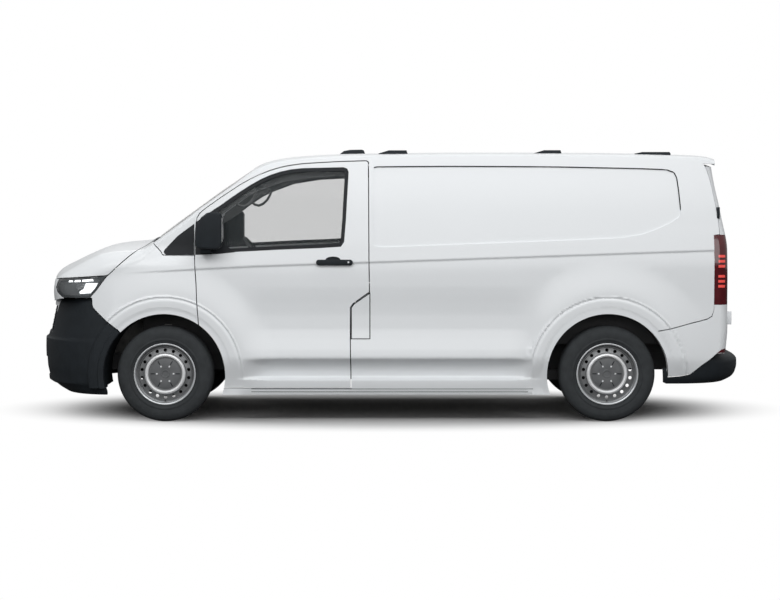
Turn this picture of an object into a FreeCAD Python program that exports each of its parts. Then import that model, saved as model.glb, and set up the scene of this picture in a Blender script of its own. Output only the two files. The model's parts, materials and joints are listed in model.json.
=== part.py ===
import FreeCAD, Part
import math
import os

# Panel van, built in millimetres. X runs from the nose (minus) to the tail (plus),
# Y from the left side (minus) to the right side (plus), Z is up and the ground is Z = 0.
# The origin is on the ground under the middle of the van.

# Main sizes
front_axle_x = -1580.0
wheelbase = 3100.0
half_width = 985.0
roof_z = 1903.0
nose_x = -2460.0
tail_x = 2400.0
sill_z = 190.0

# Running gear
tyre_radius = 336.0
tyre_width = 208.0
rim_radius = 215.0
track_half = 861.0
arch_radius = 424.0
arch_lip_out = 1014.0
kingpin_y = 790.0

# Sheet and gap sizes
wall = 50.0
bonnet_wall = 36.0
roof_wall = 36.0
glass = 6.0
gap = 7.0
recess_depth = 8.0

# Cab and load space
belt_z = 1205.0
load_floor_z = 560.0
seat_gap = 0.3
cab_floor_z = 500.0
floor_plate = 30.0
bulkhead_x = -95.0
bulkhead_plate = 25.0
inner_house_y = 690.0

rear_axle_x = front_axle_x + wheelbase
wheel_z = tyre_radius
V = FreeCAD.Vector
os.makedirs("parts", exist_ok=True)

stretch = wheelbase - 3100.0


def along(x):
    """Place a length measured on the standard wheelbase."""
    share = min(1.0, max(0.0, (x + 100.0) / 1100.0))
    return x + stretch * share


def table(points, value):
    """Smooth curve through a short list of (position, height) pairs."""
    n = len(points)
    if value <= points[0][0]:
        return points[0][1]
    if value >= points[-1][0]:
        return points[-1][1]
    k = 0
    while value > points[k + 1][0]:
        k += 1
    x0, y0 = points[k]
    x1, y1 = points[k + 1]
    h = x1 - x0

    def slope(i):
        if i == 0:
            return (points[1][1] - points[0][1]) / (points[1][0] - points[0][0])
        if i == n - 1:
            return (points[-1][1] - points[-2][1]) / (points[-1][0] - points[-2][0])
        a = (points[i][1] - points[i - 1][1]) / (points[i][0] - points[i - 1][0])
        b = (points[i + 1][1] - points[i][1]) / (points[i + 1][0] - points[i][0])
        if a * b <= 0:
            return 0.0
        return 2 * a * b / (a + b)

    t = (value - x0) / h
    m0 = slope(k) * h
    m1 = slope(k + 1) * h
    return ((2 * t ** 3 - 3 * t ** 2 + 1) * y0 + (t ** 3 - 2 * t ** 2 + t) * m0
            + (3 * t ** 2 - 2 * t ** 3) * y1 + (t ** 3 - t ** 2) * m1)


def ease(t):
    t = min(1.0, max(0.0, t))
    return t * t * (3 - 2 * t)


def high(z):
    """Place a height above the belt line for the chosen roof height."""
    share = min(1.0, max(0.0, (z - belt_z) / (1903.0 - belt_z)))
    return z + (roof_z - 1903.0) * share


# Half width of the body at mid length, as an inset from half_width: plain, then with its creases.
PLAIN = [(150, -58), (236, -40), (300, -30), (450, -12), (600, -10), (800, -9), (1000, -4), (1100, 0),
         (1230, -7), (1400, -34), (1600, -73), (1786, -114), (1903, -142)]
SHAPED = [(150, -62), (200, -44), (240, -34), (292, -28), (302, -29), (322, -42), (425, -16), (444, -1),
          (456, 2), (520, -2), (640, -14), (800, -12), (1000, -4), (1100, 0),
          (1230, -7), (1400, -34), (1600, -73), (1786, -114), (1903, -142)]
CREASE = [(-1900, 1040), (-1600, 1056), (-980, 1088), (-140, 1118), (1110, 1161), (2160, 1197), (2400, 1204)]


def side(x, z, inset=0.0, shaped=True):
    """Half width of the body at a length and height."""
    w = half_width + table(PLAIN, z)
    if shaped:
        mid = ease((x + 1120.0) / 200.0) * ease((rear_axle_x - 430.0 - x) / 200.0)
        w += mid * (table(SHAPED, z) - table(PLAIN, z))
        zc = table(CREASE, x)
        fade = ease((x + 1900.0) / 500.0)
        w += 5.0 * fade * math.tanh((z - zc) / 7.0) * math.exp(-abs(z - zc) / 55.0)
    if x < -600.0:
        w -= 22.0 * ((-600.0 - x) / 1500.0) ** 2
        w -= 44.0 * min(1.2, (-600.0 - x) / 1000.0) ** 2 * ease((z - 1080.0) / 170.0)
    back = x - along(1200.0)
    if back > 0:
        w -= 13.0 * (back / 1100.0) ** 2
    return w - inset


# Body stations from nose to tail: profile point, end of its ray, crown and edge roll.
NOSE = [
    (14, 640, -1790, 612, 104, 235), (4, 760, -1792, 600, 106, 235), (0, 850, -1794, 582, 106, 235),
    (0, 920, -1796, 562, 104, 232), (6, 980, -1798, 542, 100, 226), (20, 1022, -1800, 521, 94, 214),
    (45, 1054, -1800, 500, 86, 200), (90, 1083, -1800, 471, 76, 186), (150, 1112, -1800, 440, 66, 172),
    (250, 1160, -1800, 380, 56, 155), (350, 1203, -1800, 320, 50, 143), (432, 1230, -1800, 268, 47, 135),
    (520, 1245, -1798, 220, 46, 128), (630, 1254, -1780, 190, 46, 116), (705, 1262, -1738, 190, 48, 92),
]
TOP = [
    (-1690, 1296, 52, 66), (-1632, 1340, 55, 50), (-1550, 1402, 57, 42), (-1439, 1482, 57, 38),
    (-1350, 1549, 57, 36), (-1246, 1622, 56, 36), (-1127, 1702, 54, 36), (-1038, 1762, 50, 37),
    (-975, 1802, 46, 38), (-930, 1823, 43, 38), (-890, 1838, 40, 38), (-816, 1855, 36, 38),
    (-742, 1866, 33, 38), (-668, 1874, 31, 38), (-520, 1884, 29, 38), (-380, 1891, 28, 38),
    (-150, 1896, 27, 38), (150, 1900, 27, 38), (500, 1903, 27, 38), (900, 1903, 27, 38),
    (1300, 1902, 27, 38), (1600, 1899, 27, 38), (1900, 1893, 27, 38), (2100, 1887, 28, 38),
    (2250, 1880, 29, 38), (2310, 1872, 30, 38), (2345, 1860, 31, 38),
]
STATIONS = []
for entry in NOSE:
    STATIONS.append((nose_x + entry[0], entry[1], entry[2], entry[3], entry[4], entry[5]))
for entry in TOP:
    STATIONS.append((along(entry[0]), high(entry[1]), along(entry[0]), sill_z - 8.0, entry[2], entry[3]))
NOSE_END = len(NOSE)


def side_levels(x, top):
    """Heights of the rows down the side, lined up with the creases."""
    zc = table(CREASE, x)
    rise = min(60.0, 0.75 * (top - zc))
    rows = []
    for k in range(5):
        rows.append(top + (zc + rise - top) * k / 5.0)
    rows += [zc + rise, zc + 0.4 * rise, zc + 0.12 * rise, zc, zc - 7, zc - 22, zc - 60]
    rows += [960, 850, 740, 640, 545, 480, 456, 444, 425, 370, 322, 302, 292, 240, sill_z]
    return rows


LEVEL_COUNT = 27


def section(i, rows, inset=0.0, shaped=True):
    """Points of one body section on the left half: rows are (kind, value)."""
    x, z, ex, ez, crown, roll = STATIONS[i]
    length = math.hypot(ex - x, ez - z)
    dx = (ex - x) / length
    dz = (ez - z) / length
    r = max(12.0, roll - inset)
    wide = side(x, z - 80.0, inset, False)
    for step in range(3):
        flat = wide - r
        drop = inset + crown * (flat / 800.0) ** 2
        d = drop + r
        wide = side(x + dx * d, z + dz * d, inset, False)
    flat = wide - r
    drop = inset + crown * (flat / 800.0) ** 2
    end = drop + r
    points = []
    for kind, value in rows:
        if kind == "top":
            y = flat * value
            d = inset + crown * (y / 800.0) ** 2
        elif kind == "roll":
            a = math.radians(value)
            y = flat + r * math.sin(a)
            d = drop + r * (1 - math.cos(a))
        else:
            if i < NOSE_END:
                ref = side_levels(-1820.0, 1092.0)
                share = (ref[value] - ref[0]) / (ref[-1] - ref[0])
                d = end + (length - end) * share
            else:
                d = z - side_levels(x, z - end)[value]
            y = side(x + dx * d, z + dz * d, inset, shaped)
        points.append(V(x + dx * d, -y, z + dz * d))
    return points


SIDE_ROWS = [("side", k) for k in (0, 2, 4, 5, 6, 7, 8, 9, 11, 12, 13, 15, 16, 17, 18, 20, 21, 22, 24, 26)]


def ring_of(points):
    """Closed wire through a list of points."""
    return Part.makePolygon(points + [points[0]])


def slab(stations, rows, back_rows, depth, thick, both=False, shaped=True):
    """Part of the body skin between two depths, lofted through its stations."""
    wires = []
    for i in stations:
        outer = section(i, rows, depth, shaped and depth < 15.0)
        inner = section(i, back_rows, depth + thick, False)
        if both:
            outer = [V(q.x, -q.y, q.z) for q in reversed(outer)][:-1] + outer
            inner = [V(q.x, -q.y, q.z) for q in reversed(inner)][:-1] + inner
        wires.append(ring_of(outer + list(reversed(inner))))
    return Part.makeLoft(wires, True, True)


def prism(points, y0, y1):
    """Outline in the XZ plane carried from y0 to y1."""
    w = Part.makePolygon([V(p[0], y0, p[1]) for p in points] + [V(points[0][0], y0, points[0][1])])
    return Part.Face(w).extrude(V(0, y1 - y0, 0))


def tower(points, z0, z1):
    """Outline in the XY plane carried from z0 to z1."""
    w = Part.makePolygon([V(p[0], p[1], z0) for p in points] + [V(points[0][0], points[0][1], z0)])
    return Part.Face(w).extrude(V(0, 0, z1 - z0))


def outline(points, grow):
    """Move a closed outline outward by a distance, or inward if it is negative."""
    area = 0.0
    n = len(points)
    for k in range(n):
        x0, z0 = points[k]
        x1, z1 = points[(k + 1) % n]
        area += x0 * z1 - x1 * z0
    turn = 1.0 if area > 0 else -1.0
    result = []
    for k in range(n):
        ax, az = points[k - 1]
        bx, bz = points[k]
        cx, cz = points[(k + 1) % n]
        l1 = math.hypot(bx - ax, bz - az)
        l2 = math.hypot(cx - bx, cz - bz)
        n1 = ((bz - az) / l1 * turn, -(bx - ax) / l1 * turn)
        n2 = ((cz - bz) / l2 * turn, -(cx - bx) / l2 * turn)
        dot = max(0.3, 1.0 + n1[0] * n2[0] + n1[1] * n2[1])
        result.append((bx + (n1[0] + n2[0]) / dot * grow, bz + (n1[1] + n2[1]) / dot * grow))
    return result


def cyl(x, y, z, radius, y1):
    return Part.makeCylinder(radius, y1 - y, V(x, y, z), V(0, 1, 0))


def box(x0, x1, y0, y1, z0, z1):
    return Part.makeBox(x1 - x0, y1 - y0, z1 - z0, V(x0, y0, z0))


def mirror(shape):
    return shape.mirror(V(0, 0, 0), V(0, 1, 0))


def biggest(shape):
    solids = sorted(shape.Solids, key=lambda s: -s.Volume)
    if not solids:
        return shape
    return solids[0]


def fuse(shapes):
    result = shapes[0]
    if len(shapes) > 1:
        result = result.fuse(shapes[1:])
    return result.removeSplitter()


PIECES = {}


def keep(name, shape):
    if len(shape.Solids) == 1:
        shape = shape.Solids[0]
    PIECES[name] = shape


def both_sides(name, shape):
    keep(name + "_left", shape)
    keep(name + "_right", mirror(shape))


def many_sided(radius, y, x=0.0, z=0.0, count=72):
    """Closed regular ring about the Y axis."""
    points = []
    for k in range(count):
        t = 2 * math.pi * k / count
        points.append(V(x + radius * math.sin(t), y, z - radius * math.cos(t)))
    return ring_of(points)


def drum(levels, x=0.0, z=0.0, count=72):
    """Many sided solid about the Y axis through (radius, y) levels."""
    return Part.makeLoft([many_sided(r, y, x, z, count) for r, y in levels], True, True)


# Station numbers: the nose fan first, then the screen, roof and load space.
N = NOSE_END
CAB = [N, N + 1, N + 2, N + 3, N + 5, N + 6, N + 7, N + 8, N + 10, N + 11, N + 13, N + 14, N + 15, N + 16]
LOAD = [N + 17, N + 18, N + 19, N + 20, N + 21, N + 22, N + 23, N + 24, N + 26]
EDGE_ROWS = [("top", 0.95), ("top", 1.0), ("roll", 30), ("roll", 60)]
EDGE_BACK = [("top", 0.95), ("roll", 20)]
BACK_ROWS = [("side", k) for k in (0, 3, 5, 12, 16, 22, 26)]

# Outlines in side view, as (X, Z).
BONNET_LINE = [(-1698, 1259), (-1762, 1215), (-1832, 1157), (-1903, 1094), (-1967, 1034)]
LAMP_OUTLINE = [(-1984, 1024), (-2019, 974), (-2055, 925), (-2103, 870), (-2300, 872), (-2340, 905),
                (-2356, 939), (-2334, 1001)]
WING_OUTLINE = [(-1698, 1259), (-1762, 1215), (-1832, 1157), (-1903, 1094), (-1967, 1034), (-1980, 1024),
                (-2019, 974), (-2055, 925), (-2103, 872), (-2088, 866), (-2086, 825), (-2081, 804),
                (-2053, 772), (-2004, 726), (-1955, 688), (-1896, 642), (-1800, 500), (-1350, 500),
                (-1339, 692), (-1346, 786), (-1351, 856), (-1355, 961), (-1364, 1080), (-1367, 1168),
                (-1590, 1170), (-1606, 1196), (-1650, 1240), (-1668, 1262)]
DOOR_TOP = [(-1367, 1174), (-1365, 1300), (-1360, 1386), (-1352, 1430), (-1335, 1461), (-1300, 1491),
            (-1195, 1566), (-1054, 1660), (-984, 1699), (-914, 1733), (-843, 1761), (-773, 1782),
            (-703, 1797), (-600, 1810), (-353, 1824), (-168, 1829), (-154, 1818)]
DOOR_OUTLINE = DOOR_TOP + [(-149, 1136), (-146, 912), (-212, 866), (-261, 831), (-279, 803), (-280, 576),
                           (-276, 238), (-1200, 238), (-1300, 400), (-1339, 692), (-1346, 786),
                           (-1351, 856), (-1355, 961), (-1364, 1080)]
WINDOW_OUTLINE = [(-1318, 1424), (-1261, 1466), (-1191, 1516), (-1121, 1566), (-1050, 1615), (-980, 1660),
                  (-910, 1699), (-841, 1730), (-771, 1753), (-701, 1768), (-620, 1777), (-330, 1784),
                  (-302, 1774), (-292, 1750), (-303, 1554), (-310, 1414), (-322, 1262), (-345, 1228),
                  (-492, 1219), (-772, 1208), (-1080, 1192), (-1318, 1178)]
SAIL_OUTLINE = [(-1374, 1384), (-1401, 1365), (-1485, 1301), (-1542, 1238), (-1584, 1186), (-1374, 1178)]
PILLAR_CUT = [(-1374, 1176), (-1374, 100), (-2000, 100), (-2000, 1500), (-1700, 1297), (-1668, 1270),
              (-1650, 1247), (-1608, 1203), (-1590, 1178)]
FLAP_OUTLINE = [(-143, 905), (-143, 584), (-273, 584), (-273, 801), (-256, 826), (-209, 859)]
RECESS_OUTLINE = [(-118, 1240), (-118, 1782), (-90, 1788), (417, 1791), (1116, 1788), (1746, 1775),
                  (1935, 1768), (1990, 1748), (2008, 1710), (2019, 1624), (2031, 1484), (2022, 1446),
                  (1985, 1412), (1888, 1364), (1749, 1314), (1620, 1293), (1469, 1285), (768, 1257),
                  (68, 1232), (-73, 1227)]
REAR_SHUT = [(2190, 1808), (2200, 1800), (2216, 1770), (2234, 1710), (2252, 1631), (2270, 1540),
             (2289, 1421), (2299, 1316), (2258, 1310), (2262, 1135), (2262, 924), (2262, 790),
             (2246, 745), (2218, 727), (2169, 713), (2099, 697), (2029, 678), (1959, 660), (1868, 643)]


def moved(points):
    return [(along(x), high(z)) for x, z in points]


def grown(points, amount):
    return outline(moved(points), amount)


half_gap = gap / 2.0


def flare(axle_x):
    """Ring that stands out round a wheel arch on the left side."""
    lip = -arch_lip_out
    levels = [(arch_radius + 113, lip + 76), (arch_radius + 113, lip + 50), (arch_radius + 108, lip + 26),
              (arch_radius + 96, lip + 19), (arch_radius + 45, lip + 10), (arch_radius + 38, lip + 2),
              (arch_radius + 8, lip)]
    ring = drum(levels, axle_x, wheel_z).cut(cyl(axle_x, -1100, wheel_z, arch_radius, -800))
    low = box(axle_x - 600, axle_x + 600, -1100, 0, -400, 238)
    return ring.cut(low)


front_flare = flare(front_axle_x)
rear_flare = flare(rear_axle_x)
front_hole = cyl(front_axle_x, -1100, wheel_z, arch_radius, -300)
rear_hole = cyl(rear_axle_x, -1100, wheel_z, arch_radius, -300)

# Body skin of the left side, from the screen pillar to the tail.
skin = slab(CAB + LOAD, EDGE_ROWS + SIDE_ROWS, EDGE_BACK + BACK_ROWS, 0.0, wall)
skin_flared = skin.fuse([rear_flare.common(box(-3000, 3000, -1200, -900, 0, 1200))])
door_hole = prism(grown(DOOR_OUTLINE, half_gap), -1300, -600)
tail_cut = prism(moved(REAR_SHUT) + [(along(1868), 100), (along(3000), 100), (along(3000), 1808)], -1300, -600)
side_panel = skin_flared.cut([door_hole, rear_hole, front_hole, prism(outline(WING_OUTLINE, half_gap), -1300, -600), prism(moved(PILLAR_CUT), -1300, -600),
                              prism(grown(SAIL_OUTLINE, 0.0), -1300, -600), tail_cut,
                              prism(grown(FLAP_OUTLINE, half_gap), -1300, -600)])

# The flat pressed field in the upper side.
recess_rows = [("side", k) for k in (0, 2, 4, 5, 6, 7)]
recess_tool = slab([N + 16] + LOAD, recess_rows, recess_rows, -6.0, 6.0 + recess_depth, shaped=False)
side_panel = side_panel.cut(recess_tool.common(prism(moved(RECESS_OUTLINE), -1300, -600)))

# Cab doors, with their windows cut.
door_skin = slab([N + 2, N + 3, N + 5, N + 6, N + 7, N + 8, N + 10, N + 11, N + 13, N + 14, N + 15, N + 16, N + 17],
                 [("roll", 60)] + SIDE_ROWS, [("roll", 20)] + BACK_ROWS, 0.0, wall)
door_flare = front_flare.common(box(-3000, 3000, -1200, -900, 0, 1200))
door_piece = prism(grown(DOOR_OUTLINE, -half_gap), -1300, -600)
window_hole = prism(moved(WINDOW_OUTLINE), -1300, -600)
door = door_skin.fuse([door_flare]).common(door_piece).cut([window_hole, front_hole])
both_sides("door", biggest(door))
trim_skin = slab([N + 3, N + 5, N + 6, N + 7, N + 8, N + 10, N + 11, N + 13, N + 14, N + 15, N + 16],
                 [("roll", 60)] + [("side", k) for k in range(0, 12)], [("roll", 40), ("side", 0), ("side", 4), ("side", 11)],
                 4.0, 20.0, shaped=False)
pane_hole = prism(grown(WINDOW_OUTLINE, -26.0), -1300, -600)
window_trim = biggest(trim_skin.common(window_hole).cut(pane_hole))
pane_skin = slab([N + 3, N + 5, N + 6, N + 7, N + 8, N + 10, N + 11, N + 13, N + 14, N + 15, N + 16],
                 [("roll", 60), ("side", 0), ("side", 2), ("side", 4), ("side", 8), ("side", 11)],
                 [("roll", 60), ("side", 0), ("side", 2), ("side", 4), ("side", 8), ("side", 11)], 9.0, glass, shaped=False)
both_sides("door_glass", biggest(pane_skin.common(pane_hole)))
sail_skin = slab([N + 1, N + 2, N + 3, N + 5], [("roll", 60)] + [("side", k) for k in range(0, 12)],
                 [("roll", 40), ("side", 0), ("side", 4), ("side", 11)], 2.0, 40.0, shaped=False)
sail = biggest(sail_skin.common(prism(moved(SAIL_OUTLINE), -1300, -600)))

# Bonnet, wings, lamps and the painted strip between them, from the nose fan.
NOSE_ROWS = [("top", 0.0), ("top", 0.3), ("top", 0.6), ("top", 0.82), ("top", 1.0), ("roll", 15), ("roll", 30),
             ("roll", 45), ("roll", 60), ("roll", 75)]
NOSE_BACK = [("top", 0.0), ("top", 0.5), ("top", 1.0), ("roll", 30), ("roll", 60)]
FAN_ROWS = [("side", k) for k in (0, 2, 5, 8, 12, 14, 17, 22, 26)]
FAN_BACK = [("side", k) for k in (0, 5, 12, 17, 26)]
nose_skin = slab(list(range(2, NOSE_END)) + [N], NOSE_ROWS + FAN_ROWS[:6], NOSE_BACK + FAN_BACK[:4], 0.0, bonnet_wall, True)
bonnet_outline = [(-1708, 1400), (-1702, 1260)] + BONNET_LINE[1:] + [(-1986, 1026), (-2330, 1003), (-2500, 984), (-2500, 1400)]
bonnet = nose_skin.common(prism(outline(bonnet_outline, -half_gap), -1300, 1300))
rear_trim = tower([(-1712, 0), (-1706, -400), (-1690, -850), (-1600, -1100), (-1400, -1100), (-1400, 1100),
                   (-1600, 1100), (-1690, 850), (-1706, 400)], 900, 1500)
keep("bonnet", biggest(bonnet.cut(rear_trim)))

wing_stations = [1, 3, 5, 7, 9, 10, 11, 12, 13, 14, N, N + 1, N + 2, N + 3, N + 5]
wing_skin = slab(wing_stations, NOSE_ROWS[4:] + [("side", k) for k in (0, 3, 5, 6, 7, 8, 9, 11, 12, 14, 17)],
                 NOSE_BACK[2:] + FAN_BACK[:4], 0.0, 40.0)
wing = wing_skin.fuse([door_flare]).common(prism(outline(WING_OUTLINE, -half_gap), -1300, -500)).cut(front_hole)
wing = biggest(wing)
keep("wings", Part.makeCompound([wing, mirror(wing)]))

# Hinge post behind the wing, with the lugs that carry the cab door.
hinge_post = fuse([box(-1440, -1374, -925, -845, 740, 1174), box(-1440, -1374, -872, -845, 1170, 1450),
                   box(-1440, -1374, -900, -845, 1390, 1450), box(-1440, -1340, -938, -900, 1090, 1135),
                   box(-1440, -1340, -934, -895, 745, 785)])
hinge_post = biggest(hinge_post.cut([prism(grown(DOOR_OUTLINE, seat_gap - half_gap), -1300, -600), front_hole, wing]))
lamp_skin = slab(range(1, NOSE_END - 2), NOSE_ROWS + FAN_ROWS[:7], NOSE_BACK + FAN_BACK[:4], 1.0, 70.0)
headlamp = biggest(lamp_skin.common(prism(outline(LAMP_OUTLINE, -0.3), -1300, -400)))
lamp_bracket = box(-2062, -1992, -930, -889, 935, 955).cut(wing)
headlamp = biggest(headlamp.fuse([lamp_bracket]))
keep("headlamps", Part.makeCompound([headlamp, mirror(headlamp)]))

fascia_skin = slab(range(0, NOSE_END - 4), NOSE_ROWS + FAN_ROWS[:4], NOSE_BACK + FAN_BACK[:3], 0.0, 36.0, True)
FASCIA_OUTLINE = [(-2500, 978), (-2336, 997), (-2300, 980), (-2290, 866), (-2330, 860), (-2420, 830),
                  (-2500, 830)]
fascia = fascia_skin.common(prism(FASCIA_OUTLINE, -1300, 1300))
slot = box(-2600, -2300, -560, 560, 888, 938)
lamp_room = prism(outline(LAMP_OUTLINE, 0.0), -1300, 1300)
fascia_body = fascia.cut([slot, lamp_room])
keep("fascia", biggest(fascia_body))
slats = [box(-2600, -2300, -560, 560, 888, 893), box(-2600, -2300, -560, 560, 910, 916),
         box(-2600, -2300, -560, 560, 933, 938)]
inner_strip = slab(range(0, NOSE_END - 4), NOSE_ROWS[:5], NOSE_BACK[:3], 8.0, 22.0, True)
backing = slab(range(0, NOSE_END - 4), NOSE_ROWS[:5], NOSE_BACK[:3], 28.0, 6.0, True)
upper_bars = [inner_strip.common(q) for q in slats]
upper_grille = backing.common(slot).fuse(upper_bars)

# Cowl and windscreen.
screen_rows = [("top", 0.0), ("top", 0.3), ("top", 0.6), ("top", 0.8), ("top", 0.9495)]
screen_stations = [N - 1, N, N + 1, N + 2, N + 3, N + 5, N + 6, N + 7, N + 8]
screen_skin = slab(screen_stations, screen_rows, screen_rows, 4.0, 6.0, True)
screen_foot = [(-1688, 0), (-1676, -300), (-1640, -600), (-1570, -860), (-1400, -1100)]
foot_line = screen_foot + [(-1400, -1200), (-2200, -1200), (-2200, 1200), (-1400, 1200)] + [(x, -y) for x, y in reversed(screen_foot[1:])]
screen = screen_skin.cut(tower(foot_line, 900, 1600))
screen = biggest(screen.common(box(-2000, along(-984), -1000, 1000, 900, 2000)))
keep("windscreen", biggest(screen.cut([side_panel, mirror(side_panel)])))
cowl_stations = [NOSE_END - 3, NOSE_END - 2, NOSE_END - 1, N, N + 1, N + 2, N + 3]
cowl_rows = [("top", 0.0), ("top", 0.3), ("top", 0.6), ("top", 0.8), ("top", 0.95)]
cowl_skin = slab(cowl_stations, cowl_rows, cowl_rows, 16.0, 30.0, True)
cowl_front = [(-1706, 0), (-1700, -400), (-1682, -830), (-1682, -1200), (-3000, -1200), (-3000, 1200), (-1682, 1200),
              (-1682, 830), (-1700, 400)]
cowl_back = [(-1683, 0), (-1671, -300), (-1635, -600), (-1565, -860), (-1395, -1100), (0, -1100), (0, 1100),
             (-1395, 1100), (-1565, 860), (-1635, 600), (-1671, 300)]
cowl = cowl_skin.cut([tower(cowl_front, 900, 1600), tower(cowl_back, 900, 1600)])
lug_room = tower([(x + seat_gap, y) for x, y in ((-1712, 0), (-1706, -400), (-1500, -400), (-1500, 0))], 900, 1500)
cowl_lug = box(-1712, -1670, -320, -280, 1250, 1270).common(lug_room)
cowl = biggest(cowl).fuse([cowl_lug, mirror(cowl_lug)]).cut([side_panel, mirror(side_panel)])
keep("cowl", Part.makeCompound([biggest(cowl), sail, mirror(sail)]))

# Roof.
roof_stations = [N + 8, N + 10, N + 11, N + 13, N + 15, N + 16, N + 17, N + 19, N + 21, N + 23, N + 24, N + 26]
roof_rows = [("top", 0.0), ("top", 0.3), ("top", 0.6), ("top", 0.8), ("top", 0.949)]
roof = slab(roof_stations, roof_rows, [("top", 0.0), ("top", 0.6), ("top", 0.925)], 0.0, roof_wall, True)
keep("roof", roof)

# Black fittings on the roof: the caps of the rack points and the aerial.
cap_y = 600.0
cap_half = 28.0
CAPS = [(-84, -10, 115, 1908), (1019, 1096, 1213, 1909), (1746, 1797, 1990, 1896)]
fittings = [prism([(-382, 1875), (-382, 1890), (-345, 1918), (-300, 1926), (-211, 1928), (-196, 1921),
                   (-185, 1890), (-185, 1875)], -20, 20)]
for x0, x1, x2, top in CAPS:
    cap = prism(moved([(x0, 1860), (x0, 1886), (x1, top), (x2, top), (x2 + 8, 1886), (x2 + 8, 1860)]),
                -cap_y - cap_half, -cap_y + cap_half)
    fittings += [cap, mirror(cap)]
keep("roof_fittings", Part.makeCompound([biggest(piece.cut(roof)) for piece in fittings]))


def wrap(levels, front, depth, thick, end_y, shaped=True):
    """Body skin round the left rear corner, from the side to the tail."""
    wires = []
    for z in levels:
        loops = []
        for inset in (depth, depth + thick):
            r = max(14.0, 70.0 - inset)
            back = tail_at(z) - inset
            wide = side(back - 100.0, z, inset, False)
            sweep = 26.0 * ((wide - r) / 800.0) ** 2
            start = back - sweep - r
            points = []
            for x in front:
                px = start if x is None else min(along(x), start - 1.0)
                points.append(V(px, -side(px, z, inset, shaped and inset < 15.0), z))
            wide = -points[-1].y
            steps = (18, 36, 54, 72, 90) if inset == depth else (45, 90)
            for a in steps:
                t = math.radians(a)
                points.append(V(start + r * math.sin(t), -(wide - r + r * math.cos(t)), z))
            across = (700.0, 480.0, 240.0) if inset == depth else (480.0,)
            for y in [q for q in across if q > end_y] + [end_y]:
                points.append(V(back - 26.0 * (y / 800.0) ** 2, -y, z))
            loops.append(points)
        wires.append(ring_of(loops[0] + list(reversed(loops[1]))))
    return Part.makeLoft(wires, True, True)


TAIL = [(300, -30), (470, -16), (560, -6), (650, 0), (800, -2), (985, -2), (1128, -4), (1220, -6), (1270, -12),
        (1412, -42), (1533, -66), (1660, -94), (1767, -112), (1860, -124)]


def tail_at(z):
    return along(tail_x) + table(TAIL, z)


door_levels = [516, 560, 700, 860, 1000, 1128, 1240, 1330, 1412, 1533, 1660, 1767, 1835]
lip = section(N + 26, [("top", 0.0), ("top", 0.5), ("top", 0.95)], roof_wall + gap, False)
lip_loop = [V(along(2100), q.y, q.z) for q in lip] + [V(along(2100), -1200, lip[-1].z), V(along(2100), -1200, high(2000)),
                                                     V(along(2100), 0, high(2000))]
lip_room = Part.Face(ring_of(lip_loop)).extrude(V(500, 0, 0))
rear_skin = wrap([high(z) for z in door_levels], [2150, None], 0.0, wall, gap / 2.0)
behind_shut = moved(REAR_SHUT[:8]) + [(along(2299), 300), (along(1000), 300), (along(1000), 1900), (along(2185), 1900)]
rear_side = biggest(rear_skin.cut([prism(outline(behind_shut, half_gap), -1300, -600), lip_room,
                                   box(along(2000), along(2600), -1200, -865, 300, 1312)]))
latch = box(along(tail_x) - 30, along(tail_x) + 22, 30, 190, 985, 1025)
keep("rear_door_left", rear_side)
keep("rear_door_right", mirror(rear_side).fuse(latch))

LAMP_BACK = [(2258.3, 1309.7), (2262.3, 1135), (2262.3, 924), (2262.3, 822.3), (2500, 822.3), (2500, 1309.7)]
lamp_levels = [780, 924, 1000, 1080, 1135, 1220, 1270, 1340]
tail_wrap = wrap([high(z) for z in lamp_levels], [1840, 2050, 2200, None], 0.0, wall, 872.0, False)
tail_lamp = tail_wrap.common(prism(moved(LAMP_BACK), -1300, -872))
tail_lamp = biggest(tail_lamp)
keep("tail_lamps", Part.makeCompound([tail_lamp, mirror(tail_lamp)]))
CORNER_OUTLINE = [(2264, 822), (2264, 790), (2250, 738), (2219, 720), (2169, 706), (2099, 690), (2029, 671), (1959, 653),
                  (1868, 636), (1700, 500), (1890, 318), (1953, 318), (2030, 324), (2099, 337), (2168, 393),
                  (2238, 442), (2286, 482), (2500, 482), (2500, 822)]
lower_wrap = wrap([high(z) for z in [310, 400, 500, 560, 650, 740, 826]], [1700, 1840, 2050, 2200, None], 0.0, wall, 872.0, False)
corner_room = prism(moved(CORNER_OUTLINE), -1300, -872)
corner = lower_wrap.fuse([rear_flare]).common(corner_room).cut(rear_hole)
corner = biggest(corner).fuse([box(along(2325), along(2372), -900, -865 - seat_gap, 690, 760)])


def bumper(levels, ends, power, depth, thick, sign):
    """Bumper shell from level outlines: each level is (height, farthest x, half width)."""
    wires = []
    for z, far, wide in levels:
        loops = []
        for inset, count in ((depth, 11), (depth + thick, 7)):
            reach = abs(far - ends) - inset
            w = wide - inset
            points = []
            for k in range(count):
                t = math.pi / 2 * k / (count - 1)
                y = w * math.cos(t) ** (2.0 / power)
                x = reach * math.sin(t) ** (2.0 / power)
                points.append(V(ends + sign * x, -y, z))
            loops.append(points)
        outer = loops[0] + [V(q.x, -q.y, q.z) for q in reversed(loops[0])][1:]
        inner = loops[1] + [V(q.x, -q.y, q.z) for q in reversed(loops[1])][1:]
        wires.append(ring_of(outer + list(reversed(inner))))
    return Part.makeLoft(wires, True, True)


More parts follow.
